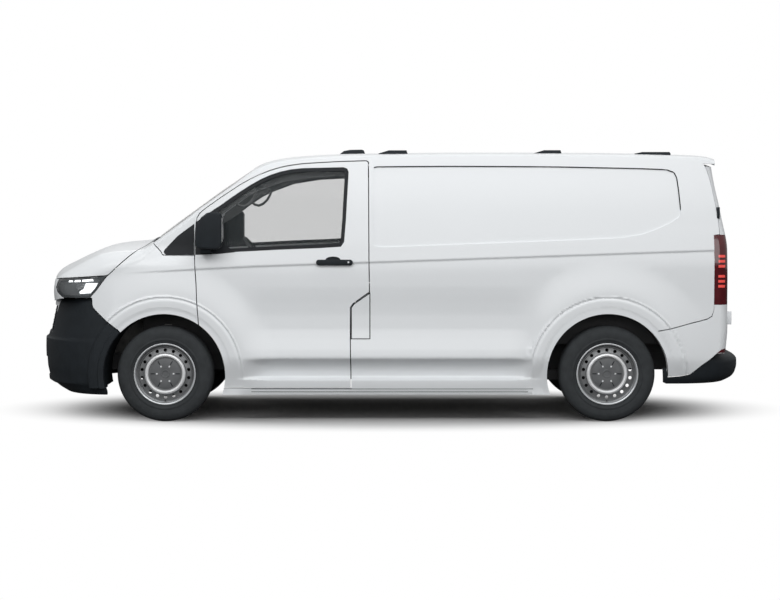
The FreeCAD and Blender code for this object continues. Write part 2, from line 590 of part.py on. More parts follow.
FRONT_LEVELS = [(190, -2372, 955), (222, -2430, 965), (242, -2455, 970), (264, -2502, 976), (306, -2506, 980),
                (372, -2520, 984), (438, -2524, 986), (496, -2525, 987), (566, -2523, 986), (580, -2505, 985), (613, -2494, 984),
                (665, -2482, 980), (738, -2466, 974), (803, -2452, 966), (826, -2450, 963), (862, -2400, 958)]
front_shell = bumper(FRONT_LEVELS, -1880.0, 2.7, 0.0, 34.0, -1)
BUMPER_OUTLINE = [(-2600, 100), (-1990, 100), (-1985, 230), (-1800, 330), (-1804, 500), (-1893, 636), (-1950, 681), (-1999, 719),
                  (-2048, 765), (-2075, 800), (-2080, 822), (-2082, 862), (-2330, 856), (-2420, 826), (-2600, 826)]
front_bumper = front_shell.fuse([door_flare.common(box(-2300, -1700, -1300, 0, 240, 800)), mirror(door_flare).common(
    box(-2300, -1700, 0, 1300, 240, 800))]).common(prism(BUMPER_OUTLINE, -1300, 1300))
mouth = box(-2700, -2300, -640, 640, 610, 800)
lower_mouth = box(-2700, -2300, -560, 560, 290, 430)
front_bumper = front_bumper.cut([cyl(front_axle_x, -1100, wheel_z, arch_radius, 1100), mouth, lower_mouth,
                                 prism(outline(WING_OUTLINE, half_gap), -1300, 1300)])
front_bumper = biggest(front_bumper)
keep("front_bumper", front_bumper)
bars = []
for k in range(6):
    z = 612.0 + k * 36.0
    bars.append(box(-2700, -2300, -640, 640, z, z + 8.0))
for k in range(4):
    z = 296.0 + k * 40.0
    bars.append(box(-2700, -2300, -560, 560, z, z + 8.0))
for k in range(9):
    y = -600.0 + k * 150.0
    bars.append(box(-2700, -2300, y - 4, y + 4, 610, 800))
    if abs(y) < 560:
        bars.append(box(-2700, -2300, y - 4, y + 4, 290, 430))
bar_layer = bumper(FRONT_LEVELS, -1880.0, 2.7, 8.0, 20.0, -1)
net_layer = bumper(FRONT_LEVELS, -1880.0, 2.7, 26.0, 6.0, -1)
net = net_layer.common(mouth.fuse(lower_mouth))
grille = [bar_layer.common(b) for b in bars]
lower_grille = grille[0].fuse(grille[1:] + [net])
keep("grille", Part.makeCompound(upper_grille.Solids + lower_grille.Solids))

REAR_LEVELS = [(268, 2440, 950), (290, 2486, 962), (310, 2506, 970), (336, 2517, 976), (375, 2525, 980), (410, 2524, 982),
               (440, 2500, 978), (462, 2450, 970), (480, 2425, 962)]
rear_shell = bumper([(z, along(x), w) for z, x, w in REAR_LEVELS], along(1900.0), 3.2, 0.0, 34.0, 1)
REAR_BUMPER_OUTLINE = [(1906, 379), (1913, 277), (1945, 263), (1949, 247), (2700, 200), (2700, 600), (2300, 477),
                       (2284, 475), (2236, 437), (2166, 388), (2097, 331), (2028, 318), (1942, 312), (1930, 379)]
rear_bumper = rear_shell.common(prism(moved(REAR_BUMPER_OUTLINE), -1300, 1300))
rear_bumper = biggest(rear_bumper)
keep("rear_bumper", rear_bumper)

left_side = side_panel.fuse([corner, hinge_post])
right_side = mirror(left_side)

# Inner structure: floors, wheel houses, rails, front wall and bulkhead.
inner_side = half_width - wall - 62.0
plates = [box(along(bulkhead_x + bulkhead_plate), along(2306), -872, 872, load_floor_z - floor_plate, load_floor_z),
          box(-1150, bulkhead_x + bulkhead_plate, -870, 870, cab_floor_z - floor_plate, cab_floor_z),
          box(-1760 + seat_gap, -1150, -524 + seat_gap, 524 - seat_gap, cab_floor_z - floor_plate, cab_floor_z),
          box(bulkhead_x, bulkhead_x + bulkhead_plate, -870, 870, cab_floor_z - floor_plate, load_floor_z)]
rails = []
for y in (-500, 430):
    rails.append(box(-2405, along(2440), y, y + 70, 330, 450))
    rails.append(box(-1130, bulkhead_x + bulkhead_plate, y + 10, y + 60, 449, cab_floor_z - floor_plate + 1))
    rails.append(box(bulkhead_x, along(2300), y + 10, y + 60, 449, load_floor_z - floor_plate + 1))
rails.append(box(-2270, -2230, -560, 560, 330, 450))
front_beam = box(-2462, -2380, -560, 560, 440, 560)
rear_beam = box(along(2430), along(2480), -560, 560, 362, 440)
sill_beam = box(along(bulkhead_x), along(2250), -940, -871, 500, 530)
outriggers = []
for x in (-1060, -500, 100, 700):
    outriggers.append(box(along(x), along(x) + 60, -905, -499, 400, 471))
    outriggers.append(box(along(x), along(x) + 60, 499, 905, 400, 471))
house_outer = cyl(rear_axle_x, -inner_side, wheel_z, arch_radius + 14, -inner_house_y)
house_void = cyl(rear_axle_x, -1100, wheel_z, arch_radius, -inner_house_y - 12)
house = house_outer.cut(box(-9000, 9000, -1200, 0, -400, load_floor_z - floor_plate))
beams = [front_beam, rear_beam, sill_beam, mirror(sill_beam)]
floor = plates[0].fuse(plates[1:] + rails + outriggers + beams + [house, mirror(house)])
front_void = cyl(front_axle_x, -1100, wheel_z, arch_radius, -556)
floor = floor.cut([house_void, mirror(house_void), front_void, mirror(front_void)])
floor = floor.cut([box(rear_axle_x - 520, rear_axle_x + 520, -905, -inner_house_y + 14, 390, 480),
                   box(rear_axle_x - 520, rear_axle_x + 520, inner_house_y - 14, 905, 390, 480)])
floor = floor.cut([front_bumper, rear_bumper, left_side, mirror(left_side)])
keep("floor", biggest(floor))

# The front wall between engine and cab, and the front wheel liners.
wall_foot = cab_floor_z - floor_plate - 20 + seat_gap
post_y = 844.7
front_wall = [box(-1780, -1760, -540, 540, wall_foot, 1150), box(-1760, -1400, -post_y, post_y, 800, 820),
              box(-1420, -1400, -post_y, post_y, 800, 1150)]
for y in (-540, 524):
    front_wall.append(box(-1780, -1400, y, y + 16, wall_foot, 801))
    front_wall.append(box(-1401, -1150, y, y + 16, wall_foot, 720))
front_wall = fuse(front_wall)
liner = cyl(front_axle_x, -930, wheel_z, arch_radius + 8, -560)
liner = liner.cut(cyl(front_axle_x, -1100, wheel_z, arch_radius, -500)).cut(box(-3000, 0, -1200, 0, -400, 250))
liner = liner.common(prism([(-3000, 250), (-3000, 2000), (-1400, 2000), (-1400, 420), (-1180, 420), (-1180, 250)], -1200, 0))
liner = biggest(liner.cut([wing, front_bumper, left_side]))
keep("front_liners", Part.makeCompound([liner, mirror(liner)]))

# Bulkhead behind the seats; it shares a node with the front wall.
bulk_rows = [("top", 0.0), ("top", 0.6), ("top", 0.95), ("roll", 20)] + BACK_ROWS[:6]
bulk_points = [V(bulkhead_x, q.y, q.z) for q in section(N + 16, bulk_rows, wall + 1.5, False)]
bulk_points = [q for q in bulk_points if q.z > load_floor_z] + [V(bulkhead_x, -870, load_floor_z)]
bulk_loop = bulk_points + [V(q.x, -q.y, q.z) for q in reversed(bulk_points)][:-1]
bulkhead = Part.Face(ring_of(bulk_loop)).extrude(V(bulkhead_plate, 0, 0))
keep("cab_walls", Part.makeCompound([front_wall, bulkhead]))

# Cab furniture.
dash_outline = [(-1400, 1150), (-1320, 1172), (-1150, 1160), (-1030, 1110), (-985, 1040), (-1000, 900), (-1080, 760),
                (-1180, 720), (-1400, 720)]
dash = prism(dash_outline, -840, 840)
dash = dash.cut([box(-1300, -980, -560, -240, 1090, 1200), box(-1100, -900, -170, 170, 600, 800)])
dash = dash.cut([box(-1130, -900, 300, 760, 780, 960)])
column = Part.makeCylinder(32, 202 - seat_gap, V(-1120, -400, 985), V(math.cos(math.radians(40)), 0, math.sin(math.radians(40))))
keep("dashboard", dash.fuse(column))
wheel_axis = V(math.cos(math.radians(40)), 0, math.sin(math.radians(40)))
hub_at = V(-1120 + wheel_axis.x * 202, -400, 985 + wheel_axis.z * 202)
steer = Part.makeCylinder(196, 26, V(0, 0, 22)).cut(Part.makeCylinder(168, 40, V(0, 0, 20)))
steer = steer.fuse([Part.makeCylinder(62, 44), box(40, 176, -17, 17, 26, 40), box(-17, 17, 40, 176, 26, 40),
                    box(-17, 17, -176, -40, 26, 40)])
steer.rotate(V(0, 0, 0), V(0, 1, 0), 50)
steer.translate(hub_at)
keep("steering_wheel", steer)


def seat(y0, y1):
    """Seat with base, cushion, back and head rest, from y0 to y1."""
    base = box(-830, -370, y0 + 50, y1 - 50, cab_floor_z, 700)
    cushion = prism([(-890, 700), (-350, 700), (-350, 800), (-860, 830), (-900, 800)], y0, y1)
    back = prism([(-400, 780), (-300, 740), (-170, 1290), (-190, 1330), (-250, 1330), (-275, 1300)], y0 + 10, y1 - 10)
    return [base, cushion, back]


def rests(y):
    return [box(-235, -205, y - 60, y - 48, 1300, 1400), box(-235, -205, y + 48, y + 60, 1300, 1400),
            box(-260, -180, y - 120, y + 120, 1370, 1540)]


driver_seat = fuse(seat(-640, -150) + rests(-395))
bench_seat = fuse(seat(-80, 690) + rests(110) + rests(500))
keep("seats", Part.makeCompound([driver_seat, bench_seat]))

# Engine, axles, exhaust and tank.
hub_face = track_half + 52.0
engine = box(-2190, -1800, -400, 380, 430, 1010)
keep("engine", engine)
subframe = box(-1900, -1400, -428, 428, 260, 310).cut(box(-1820, -1480, -300, 300, 200, 400))
arms = []
for sign in (-1, 1):
    arms.append(tower([(-1780, sign * 400), (-1625, sign * 700), (-1598, sign * 798), (-1562, sign * 798),
                       (-1535, sign * 700), (-1400, sign * 400), (-1460, sign * 400), (-1580, sign * 600),
                       (-1720, sign * 400)], 164, 188))
    for x0, x1 in ((-1800, -1710), (-1470, -1380)):
        arms.append(box(x0, x1, min(sign * 380, sign * 430), max(sign * 380, sign * 430), 164, 330 - seat_gap))
    arms.append(box(-1890, -1830, min(sign * 130, sign * 190), max(sign * 130, sign * 190), 300, 430 - seat_gap))
    arms.append(Part.makeCylinder(8.5, 56 - seat_gap, V(front_axle_x, sign * kingpin_y, 184), V(0, 0, 1)))
ties = [box(-1890, -1850, -480, 480, 290, 330 - seat_gap), box(-1450, -1410, -480, 480, 290, 330 - seat_gap)]
keep("front_subframe", fuse([subframe] + arms + ties))
for sign, word in ((-1, "left"), (1, "right")):
    post = box(front_axle_x - 26, front_axle_x + 26, min(sign * 776, sign * 802), max(sign * 776, sign * 802), 240, 500)
    bridge = box(front_axle_x - 26, front_axle_x + 26, min(sign * 700, sign * 802), max(sign * 700, sign * 802), 450, 500)
    stub = Part.makeCylinder(30, hub_face - seat_gap - 776, V(front_axle_x, sign * 776, wheel_z), V(0, sign, 0))
    disc = Part.makeCylinder(140, 12, V(front_axle_x, sign * 804, wheel_z), V(0, sign, 0))
    lever = box(front_axle_x, front_axle_x + 120, min(sign * 776, sign * 796), max(sign * 776, sign * 796), 300, 330)
    strut = box(front_axle_x - 24, front_axle_x + 24, min(sign * 700, sign * 745), max(sign * 700, sign * 745), 450, 672)
    keep("knuckle_" + word, fuse([post, bridge, stub, disc, lever, strut]))
parts = [box(rear_axle_x - 190, rear_axle_x - 110, -640, 640, 246, 326)]
for sign in (-1, 1):
    low, top = sorted((sign * 590, sign * 650))
    parts.append(box(rear_axle_x - 560, rear_axle_x + 60, low, top, 270, 340))
    parts.append(Part.makeCylinder(32, hub_face - seat_gap - 600, V(rear_axle_x, sign * 600, wheel_z), V(0, sign, 0)))
    parts.append(Part.makeCylinder(120, 60, V(rear_axle_x, sign * 740, wheel_z), V(0, sign, 0)))
    low, top = sorted((sign * (500 + seat_gap), sign * 640))
    parts.append(box(rear_axle_x - 570, rear_axle_x - 500, low, top, 280, 390))
    spring = []
    for k in range(10):
        t = 2 * math.pi * k / 10
        spring.append((rear_axle_x - 150 + 55 * math.cos(t), sign * 566 + 55 * math.sin(t)))
    parts.append(tower(spring, 300, load_floor_z - floor_plate - seat_gap))
keep("rear_axle", fuse(parts))
tank = box(-420, 250, -420, 380, 250, cab_floor_z - floor_plate - seat_gap)
keep("fuel_tank", tank.makeChamfer(35, tank.Edges))


def octagon_bar(start, end, radius):
    """Eight sided bar from one point to another."""
    axis = (end - start).normalize()
    side_way = axis.cross(V(0, 0, 1)).normalize()
    up = side_way.cross(axis)
    points = []
    for k in range(8):
        t = math.radians(45.0 * k + 22.5)
        points.append(start + side_way * (radius * math.cos(t)) + up * (radius * math.sin(t)))
    return Part.Face(ring_of(points)).extrude(end - start)


PIPE_ROUTE = [(-1500, 560, 300), (840, 560, 300), (930, 380, 300), (1100, 380, 405), (1620, 380, 405),
              (1760, 380, 325), (2330, 380, 325)]
pipes = [octagon_bar(V(-60, 600, 300), V(500, 600, 300), 88)]
for k in range(len(PIPE_ROUTE) - 1):
    x0, y0, z0 = PIPE_ROUTE[k]
    x1, y1, z1 = PIPE_ROUTE[k + 1]
    pipes.append(octagon_bar(V(along(x0), y0, z0), V(along(x1), y1, z1), 28))
    ring = []
    for m in range(8):
        t = math.radians(45.0 * m + 22.5)
        ring.append((28 * math.cos(t), 28 * math.sin(t)))
    if y0 != y1 or k in (0, 2):
        pipes.append(tower([(along(x1) + u, y1 + v) for u, v in ring], z1 - 26, z1 + 26))
    else:
        pipes.append(prism([(along(x1) + u, z1 + v) for u, v in ring], y1 - 26, y1 + 26))
pipes.append(box(along(2195), along(2205), 370, 390, 340, load_floor_z - floor_plate - seat_gap))
pipes.append(box(along(110), along(150), 590, 610, 370, 400 - seat_gap))
keep("exhaust", fuse(pipes))

# Fuel flap with its cup behind it.
flap_skin = slab([N + 15, N + 16, N + 17], [("side", k) for k in range(9, 17)], [("side", 9), ("side", 12), ("side", 16)], 0.0, 12.0)
keep("fuel_flap", biggest(flap_skin.common(prism(grown(FLAP_OUTLINE, -half_gap), -1300, -600))))
cup_skin = slab([N + 15, N + 16, N + 17], [("side", k) for k in range(9, 17)], [("side", 9), ("side", 12), ("side", 16)], 40.0, 30.0, shaped=False)
cup = cup_skin.common(prism(grown(FLAP_OUTLINE, 16.0), -1300, -600))
cup = biggest(cup.cut(door_hole))

# Mirrors.
mirror_body = box(-1345, -1215, -1132, -1010, 1232, 1470)
mirror_body = mirror_body.makeChamfer(26, mirror_body.Edges)
mirror_arm = box(-1320, -1240, -1060, -930, 1180, 1202).fuse([box(-1320, -1240, -1060, -1012, 1190, 1262)])
handle = box(-516, -262, -1006, -960, 1100, 1138)
both_sides("door_trim", mirror_body.fuse([mirror_arm, window_trim, handle]).cut(door))

# Wheels.
half_tyre = tyre_width / 2.0
bead_radius = 209.0
TYRE = [(222, -half_tyre + 12), (262, -half_tyre), (304, -half_tyre + 3), (tyre_radius, -half_tyre + 34)]


levels = TYRE + [(r, -y) for r, y in reversed(TYRE)]
bore = bead_radius / math.cos(math.pi / 72)
tyre = drum(levels).cut(drum([(bore, -half_tyre - 10), (bore, half_tyre + 10)]))
rim_back = 100.0
barrel = drum([(bead_radius - seat_gap, -92), (bead_radius - seat_gap, 92)], 0, 0, 60).fuse([
    drum([(rim_radius + 2, -rim_back), (rim_radius + 2, -92)], 0, 0, 60),
    drum([(rim_radius + 2, 92), (rim_radius + 2, rim_back)], 0, 0, 60)])
barrel = barrel.cut([drum([(198, -110), (198, -36)], 0, 0, 60), drum([(198, -26), (198, 110)], 0, 0, 60),
                     cyl(0, -60, 0, 138, 0)])
dish = drum([(150, -62), (150, -36)], 0, 0, 60).cut(cyl(0, -52, 0, 138, -20))
rim = barrel.fuse([dish, cyl(0, -66, 0, 60, -52)])
holes = []
for k in range(18):
    t = math.radians(20.0 * k)
    hole = []
    for m in range(8):
        a = math.radians(45.0 * m + 22.5) + t
        hole.append((176 * math.cos(t) + 12 * math.cos(a), 176 * math.sin(t) + 12 * math.sin(a)))
    holes.append(prism(hole, -60, 0))
rim = rim.cut(holes)
for sign, word in ((-1, "left"), (1, "right")):
    for x, end in ((front_axle_x, "front"), (rear_axle_x, "rear")):
        for piece, name in ((tyre, "tyre"), (rim, "rim")):
            shape = piece if sign < 0 else mirror(piece)
            shape = shape.copy()
            shape.translate(V(x, sign * track_half, wheel_z))
            keep(name + "_" + end + "_" + word, shape)

SLIDING_OUTLINE = [(-128, 1826), (-128, 330), (1010, 330), (1010, 1826)]
sliding_piece = prism(grown(SLIDING_OUTLINE, -half_gap), 600, 1300)
sliding_hole = prism(grown(SLIDING_OUTLINE, half_gap), 600, 1300)
sliding = biggest(right_side.common(sliding_piece))
slide_grip = box(-80, 174, 960, 1006, 1100, 1138)
keep("sliding_door", sliding.fuse(slide_grip))
right_flap = slab([N + 15, N + 16, N + 17], [("side", k) for k in range(9, 17)], [("side", 9), ("side", 12), ("side", 16)], 0.0, wall)
right_flap = mirror(right_flap.common(prism(grown(FLAP_OUTLINE, half_gap), -1300, -600)))
flap_lug = box(-146.5 + seat_gap, -137, -974, -955, 735, 765)
keep("side_left", left_side.fuse([cup, flap_lug]))
keep("side_right", right_side.fuse([right_flap]).cut(sliding_hole))
for name, shape in PIECES.items():
    shape.exportStep("parts/" + name + ".step")
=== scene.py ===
import json
import math

import bmesh
import bpy
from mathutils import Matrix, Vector


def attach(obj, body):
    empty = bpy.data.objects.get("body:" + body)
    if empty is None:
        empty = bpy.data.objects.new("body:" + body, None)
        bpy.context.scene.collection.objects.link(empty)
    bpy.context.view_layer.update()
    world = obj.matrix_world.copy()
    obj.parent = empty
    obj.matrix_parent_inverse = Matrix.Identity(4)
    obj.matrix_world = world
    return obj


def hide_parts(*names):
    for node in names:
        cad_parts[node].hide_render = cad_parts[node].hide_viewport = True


# A panel van. The surface formulas are those of the solid model, sampled more finely,
# in millimetres until a mesh is made. X runs to the tail, Y to the right side, Z is up.

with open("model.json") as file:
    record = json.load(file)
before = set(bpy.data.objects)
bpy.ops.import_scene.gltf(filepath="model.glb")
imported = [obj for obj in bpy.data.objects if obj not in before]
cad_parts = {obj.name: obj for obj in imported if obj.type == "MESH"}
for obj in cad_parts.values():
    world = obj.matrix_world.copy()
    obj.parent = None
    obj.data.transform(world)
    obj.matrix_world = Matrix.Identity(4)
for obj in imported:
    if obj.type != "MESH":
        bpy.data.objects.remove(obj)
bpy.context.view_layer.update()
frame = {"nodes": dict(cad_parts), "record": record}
scene = bpy.context.scene

# Driving sizes, as in the solid model
front_axle_x = -1580.0
rear_axle_x = 1520.0
half_width = 985.0
nose_x = -2460.0
tail_x = 2400.0
sill_z = 190.0
wheel_z = 336.0
track_half = 861.0
arch_radius = 424.0
arch_lip_out = 1014.0
wall = 50.0
lid_wall = 36.0
gap = 7.0
half_gap = gap / 2.0
tail_bow = 68.0
bow_start = 2100.0
tail_round = 70.0
tail_sweep = 26.0
crown_span = 800.0
far_left = -1300.0
inner_left = -600.0


def table(points, value):
    """Smooth curve through a short list of (position, height) pairs, level beyond its ends."""
    last = len(points) - 1
    if value <= points[0][0]:
        return points[0][1]
    if value >= points[last][0]:
        return points[last][1]
    k = 0
    while value > points[k + 1][0]:
        k += 1

    def rise(i):
        return (points[i + 1][1] - points[i][1]) / (points[i + 1][0] - points[i][0])

    def slope(i):
        if i in (0, last):
            return rise(min(i, last - 1))
        a = rise(i - 1)
        b = rise(i)
        return 0.0 if a * b <= 0 else 2 * a * b / (a + b)

    x0, y0 = points[k]
    x1, y1 = points[k + 1]
    h = x1 - x0
    t = (value - x0) / h
    return ((2 * t ** 3 - 3 * t ** 2 + 1) * y0 + (t ** 3 - 2 * t ** 2 + t) * slope(k) * h
            + (3 * t ** 2 - 2 * t ** 3) * y1 + (t ** 3 - t ** 2) * slope(k + 1) * h)


def ease(t):
    t = min(1.0, max(0.0, t))
    return t * t * (3 - 2 * t)


# Half width of the body, as an inset from half_width: plain, then with its creases.
PLAIN = [
    (150, -58), (236, -40), (300, -30), (450, -12), (600, -10), (800, -9), (1000, -3), (1100, 0),
    (1230, -7), (1400, -34), (1600, -73), (1786, -114), (1903, -142)
]
SHAPED = [(150, -62), (200, -44), (240, -34), (292, -28), (299, -31), (308, -62), (318, -76), (350, -72),
          (390, -56), (420, -30), (438, -8), (448, 0), (458, 2), (500, -1), (540, -8), (600, -19), (660, -26),
          (740, -27), (820, -21), (900, -11), (960, -5)] + PLAIN[7:]
CREASE = [
    (-1900, 1040), (-1600, 1056), (-980, 1088), (-140, 1118), (1110, 1161), (2160, 1197), (2400, 1204)
]


def side(x, z, inset=0.0, shaped=True):
    """Half width of the body at a length and height."""
    w = half_width + table(PLAIN, z)
    if shaped:
        mid = ease((x + 1090.0) / 260.0) * ease((rear_axle_x - 450.0 - x) / 260.0)
        w += mid * (table(SHAPED, z) - table(PLAIN, z))
        zc = table(CREASE, x)
        fade = ease((x + 1900.0) / 500.0)
        w += 5.0 * fade * math.tanh((z - zc) / 7.0) * math.exp(-abs(z - zc) / 55.0)
    if x < -600.0:
        w -= 22.0 * ((-600.0 - x) / 1500.0) ** 2
        w -= 44.0 * min(1.2, (-600.0 - x) / 1000.0) ** 2 * ease((z - 1080.0) / 170.0)
    back = x - 1200.0
    if back > 0:
        w -= 13.0 * (back / 1100.0) ** 2
    return w - inset


# Rings round each wheel arch, as (radius, half width), inside a wide soft bulge of the body
FLARE = [
    (424, 1001), (446, 1000.5), (462, 1003), (474, 1006), (512, 1007), (526, 1006), (544, 1009), (560, 990),
    (575, 950)
]
flare_radius = 575.0
bulge_height = 30.0
bulge_radius = 800.0
bulge_inner = 548.0
groove_radius = 535.0
groove_half_width = 9.0
groove_depth = 7.0


def body_side(x, z, inset=0.0, shaped=True):
    """Half width of the body with the rings round the wheel arches."""
    w = side(x, z, inset, shaped)
    if shaped:
        for axle in (front_axle_x, rear_axle_x):
            r = math.hypot(x - axle, z - wheel_z)
            if r < bulge_radius:
                fade = ease((x - axle + 600.0) / 260.0) * ease((z - 230.0) / 230.0)
                w += bulge_height * fade * ease((bulge_radius - r) / (bulge_radius - bulge_inner))
                groove = math.exp(-((r - groove_radius) / groove_half_width) ** 2)
                low = 62.0 * ease((470.0 - z) / 230.0)
                if r < flare_radius:
                    lift = table(FLARE, r) - low - inset
                    w = 0.5 * (w + lift + math.sqrt((w - lift) ** 2 + 9.0))
                w -= groove_depth * groove * ease((z - 330.0) / 120.0)
    return w


# Body stations from nose to tail: profile point, end of its ray, crown and edge roll.
NOSE = [
    (14, 640, -1790, 612, 104, 235), (4, 760, -1792, 600, 106, 235), (0, 850, -1794, 582, 106, 235),
    (0, 920, -1796, 562, 104, 232), (6, 980, -1798, 542, 100, 226), (20, 1022, -1800, 521, 94, 214),
    (45, 1054, -1800, 500, 86, 200), (90, 1083, -1800, 471, 76, 186), (150, 1112, -1800, 440, 66, 172),
    (250, 1160, -1800, 380, 56, 155), (350, 1203, -1800, 320, 50, 143), (432, 1230, -1800, 268, 47, 135),
    (520, 1245, -1798, 220, 46, 128), (630, 1254, -1780, 190, 46, 116), (705, 1262, -1738, 190, 48, 92)
]
TOP = [
    (-1690, 1296, 52, 66), (-1632, 1340, 55, 50), (-1550, 1402, 57, 42), (-1439, 1482, 57, 38),
    (-1350, 1549, 57, 36), (-1246, 1622, 56, 36), (-1127, 1702, 54, 36), (-1038, 1762, 50, 37),
    (-975, 1802, 46, 38), (-930, 1823, 43, 38), (-890, 1838, 40, 38), (-816, 1855, 36, 38),
    (-742, 1866, 33, 38), (-668, 1874, 31, 38), (-520, 1884, 29, 38), (-380, 1891, 28, 38),
    (-150, 1896, 27, 38), (150, 1900, 27, 38), (500, 1903, 27, 38), (900, 1903, 27, 38),
    (1300, 1902, 27, 38), (1600, 1899, 27, 38), (1900, 1893, 27, 38), (2100, 1887, 28, 38),
    (2250, 1880, 29, 38), (2310, 1872, 30, 38), (2345, 1860, 31, 38)
]
STATIONS = [(nose_x + a, b, c, d, e, f) for a, b, c, d, e, f in NOSE]
STATIONS += [(a, b, a, sill_z - 8.0, c, d) for a, b, c, d in TOP]
N = len(NOSE)
station_curves = [[(k, entry[part]) for k, entry in enumerate(STATIONS)] for part in range(6)]


def side_levels(x, top):
    """Heights of the rows down the side, lined up with the creases."""
    zc = table(CREASE, x)
    rise = min(60.0, 0.75 * (top - zc))
    rows = [top + (zc + rise - top) * k / 5.0 for k in range(5)]
    rows += [zc + rise, zc + 0.4 * rise, zc + 0.12 * rise, zc, zc - 7, zc - 22, zc - 60]
    rows += [960, 850, 740, 640, 545, 480, 456, 444, 425, 370, 322, 302, 292, 240, sill_z]
    return rows


def level_at(levels, value):
    """Height of a row between two listed ones."""
    k = min(int(value), len(levels) - 2)
    return levels[k] + (levels[k + 1] - levels[k]) * (value - k)


def section(t, rows, inset=0.0, shaped=True):
    """Points of one body section on the left half; t counts the stations and may lie between two."""
    x, z, ex, ez, crown, roll = [table(curve, t) for curve in station_curves]
    length = math.hypot(ex - x, ez - z)
    dx = (ex - x) / length
    dz = (ez - z) / length
    r = max(12.0, roll - inset)
    wide = side(x, z - 80.0, inset, False)
    for step in range(3):
        flat = wide - r
        drop = inset + crown * (flat / crown_span) ** 2
        d = drop + r
        wide = side(x + dx * d, z + dz * d, inset, False)
    flat = wide - r
    drop = inset + crown * (flat / crown_span) ** 2
    end = drop + r
    points = []
    bow = tail_bow * ease((x - bow_start) / (STATIONS[-1][0] - bow_start))
    for kind, value in rows:
        if kind == "top":
            y = flat * value
            d = inset + crown * (y / crown_span) ** 2
        elif kind == "roll":
            a = math.radians(value)
            y = flat + r * math.sin(a)
            d = drop + r * (1 - math.cos(a))
        else:
            ref = side_levels(-1820.0, 1092.0)
            share = (ref[0] - level_at(ref, value)) / (ref[0] - ref[-1])
            upright = ease(t - (N - 1))
            d = (1.0 - upright) * (end + (length - end) * share)
            if upright > 0.0:
                d += upright * (z - level_at(side_levels(x, z - end), value))
            y = body_side(x + dx * d, z + dz * d, inset, shaped)
        forward = bow * min(1.0, (y / 850.0) ** 2) * ease((z + dz * d - 1700.0) / 80.0)
        points.append((x + dx * d - forward, -y, z + dz * d))
    return points


# Meshes from rings of points, and cutting them with one another

def new_object(name, verts, faces):
    mesh = bpy.data.meshes.new(name)
    mesh.from_pydata([(x / 1000.0, y / 1000.0, z / 1000.0) for x, y, z in verts], [], faces)
    mesh.validate()
    obj = bpy.data.objects.new(name, mesh)
    scene.collection.objects.link(obj)
    return obj


def outward(obj):
    bm = bmesh.new()
    bm.from_mesh(obj.data)
    bmesh.ops.recalc_face_normals(bm, faces=bm.faces)
    bm.to_mesh(obj.data)
    bm.free()
    return obj


def loft(name, rings):
    """Closed solid through rings with the same number of points."""
    count = len(rings[0])
    verts = [p for ring in rings for p in ring]
    faces = []
    for i in range(len(rings) - 1):
        for k in range(count):
            a = i * count + k
            b = i * count + (k + 1) % count
            faces.append((a, b, b + count, a + count))
    faces.append(tuple(range(count - 1, -1, -1)))
    last = (len(rings) - 1) * count
    faces.append(tuple(range(last, last + count)))
    return outward(new_object(name, verts, faces))


def slab(name, ts, rows, back_rows, depth, thick, both=False, shaped=True):
    """Part of the body skin between two depths, lofted through its stations."""
    rings = []
    for t in ts:
        outer = section(t, rows, depth, shaped and depth < 15.0)
        inner = section(t, back_rows, depth + thick, shaped and depth < 15.0 and thick < 10.0)
        if both:
            outer = [(x, -y, z) for x, y, z in reversed(outer)][:-1] + outer
            inner = [(x, -y, z) for x, y, z in reversed(inner)][:-1] + inner
        rings.append(outer + list(reversed(inner)))
    return loft(name, rings)


def prism(points, y0=far_left, y1=inner_left):
    """Outline in the XZ plane carried from y0 to y1, through the left side if they aren't given."""
    return loft("cutter", [[(x, y0, z) for x, z in points], [(x, y1, z) for x, z in points]])


def through(points):
    """Outline in the XZ plane carried through the whole width."""
    return prism(points, far_left, -far_left)


def tower(points, z0, z1):
    """Outline in the XY plane carried from z0 to z1."""
    return loft("cutter", [[(x, y, z0) for x, y in points], [(x, y, z1) for x, y in points]])


def box(x0, x1, y0, y1, z0, z1):
    return tower([(x0, y0), (x1, y0), (x1, y1), (x0, y1)], z0, z1)


def cyl(x, y0, z, radius, y1):
    count = 128
    points = []
    for k in range(count):
        a = 2 * math.pi * k / count
        points.append((x + radius * math.cos(a), z + radius * math.sin(a)))
    return prism(points, y0, y1)


def outline(points, grow):
    """Move a closed outline outward by a distance, or inward if it is negative."""
    n = len(points)
    area = sum(points[k - 1][0] * points[k][1] - points[k][0] * points[k - 1][1] for k in range(n))
    turn = 1.0 if area > 0 else -1.0
    sides_out = []
    for (ax, az), (bx, bz) in zip(points, points[1:] + points[:1]):
        length = math.hypot(bx - ax, bz - az)
        sides_out.append(((bz - az) / length * turn, -(bx - ax) / length * turn))
    result = []
    for k, (x, z) in enumerate(points):
        (ax, az), (bx, bz) = sides_out[k - 1], sides_out[k]
        share = grow / max(0.3, 1.0 + ax * bx + az * bz)
        result.append((x + (ax + bx) * share, z + (az + bz) * share))
    return result


def apply_modifiers(obj):
    graph = bpy.context.evaluated_depsgraph_get()
    mesh = bpy.data.meshes.new_from_object(obj.evaluated_get(graph))
    old = obj.data
    obj.modifiers.clear()
    obj.data = mesh
    bpy.data.meshes.remove(old)
    return obj


def combine(obj, operation, others):
    """Cut, join or intersect with other solids, which are then used up."""
    for other in others:
        modifier = obj.modifiers.new("combine", "BOOLEAN")
        modifier.operation = operation
        modifier.solver = "EXACT"
        modifier.object = other
    apply_modifiers(obj)
    for other in others:
        if other.name.startswith("cutter"):
            bpy.data.objects.remove(other, do_unlink=True)
    return obj


def cut(obj, *others):
    return combine(obj, "DIFFERENCE", others)


def join(obj, *others):
    return combine(obj, "UNION", others)


def within(obj, *others):
    return combine(obj, "INTERSECT", others)


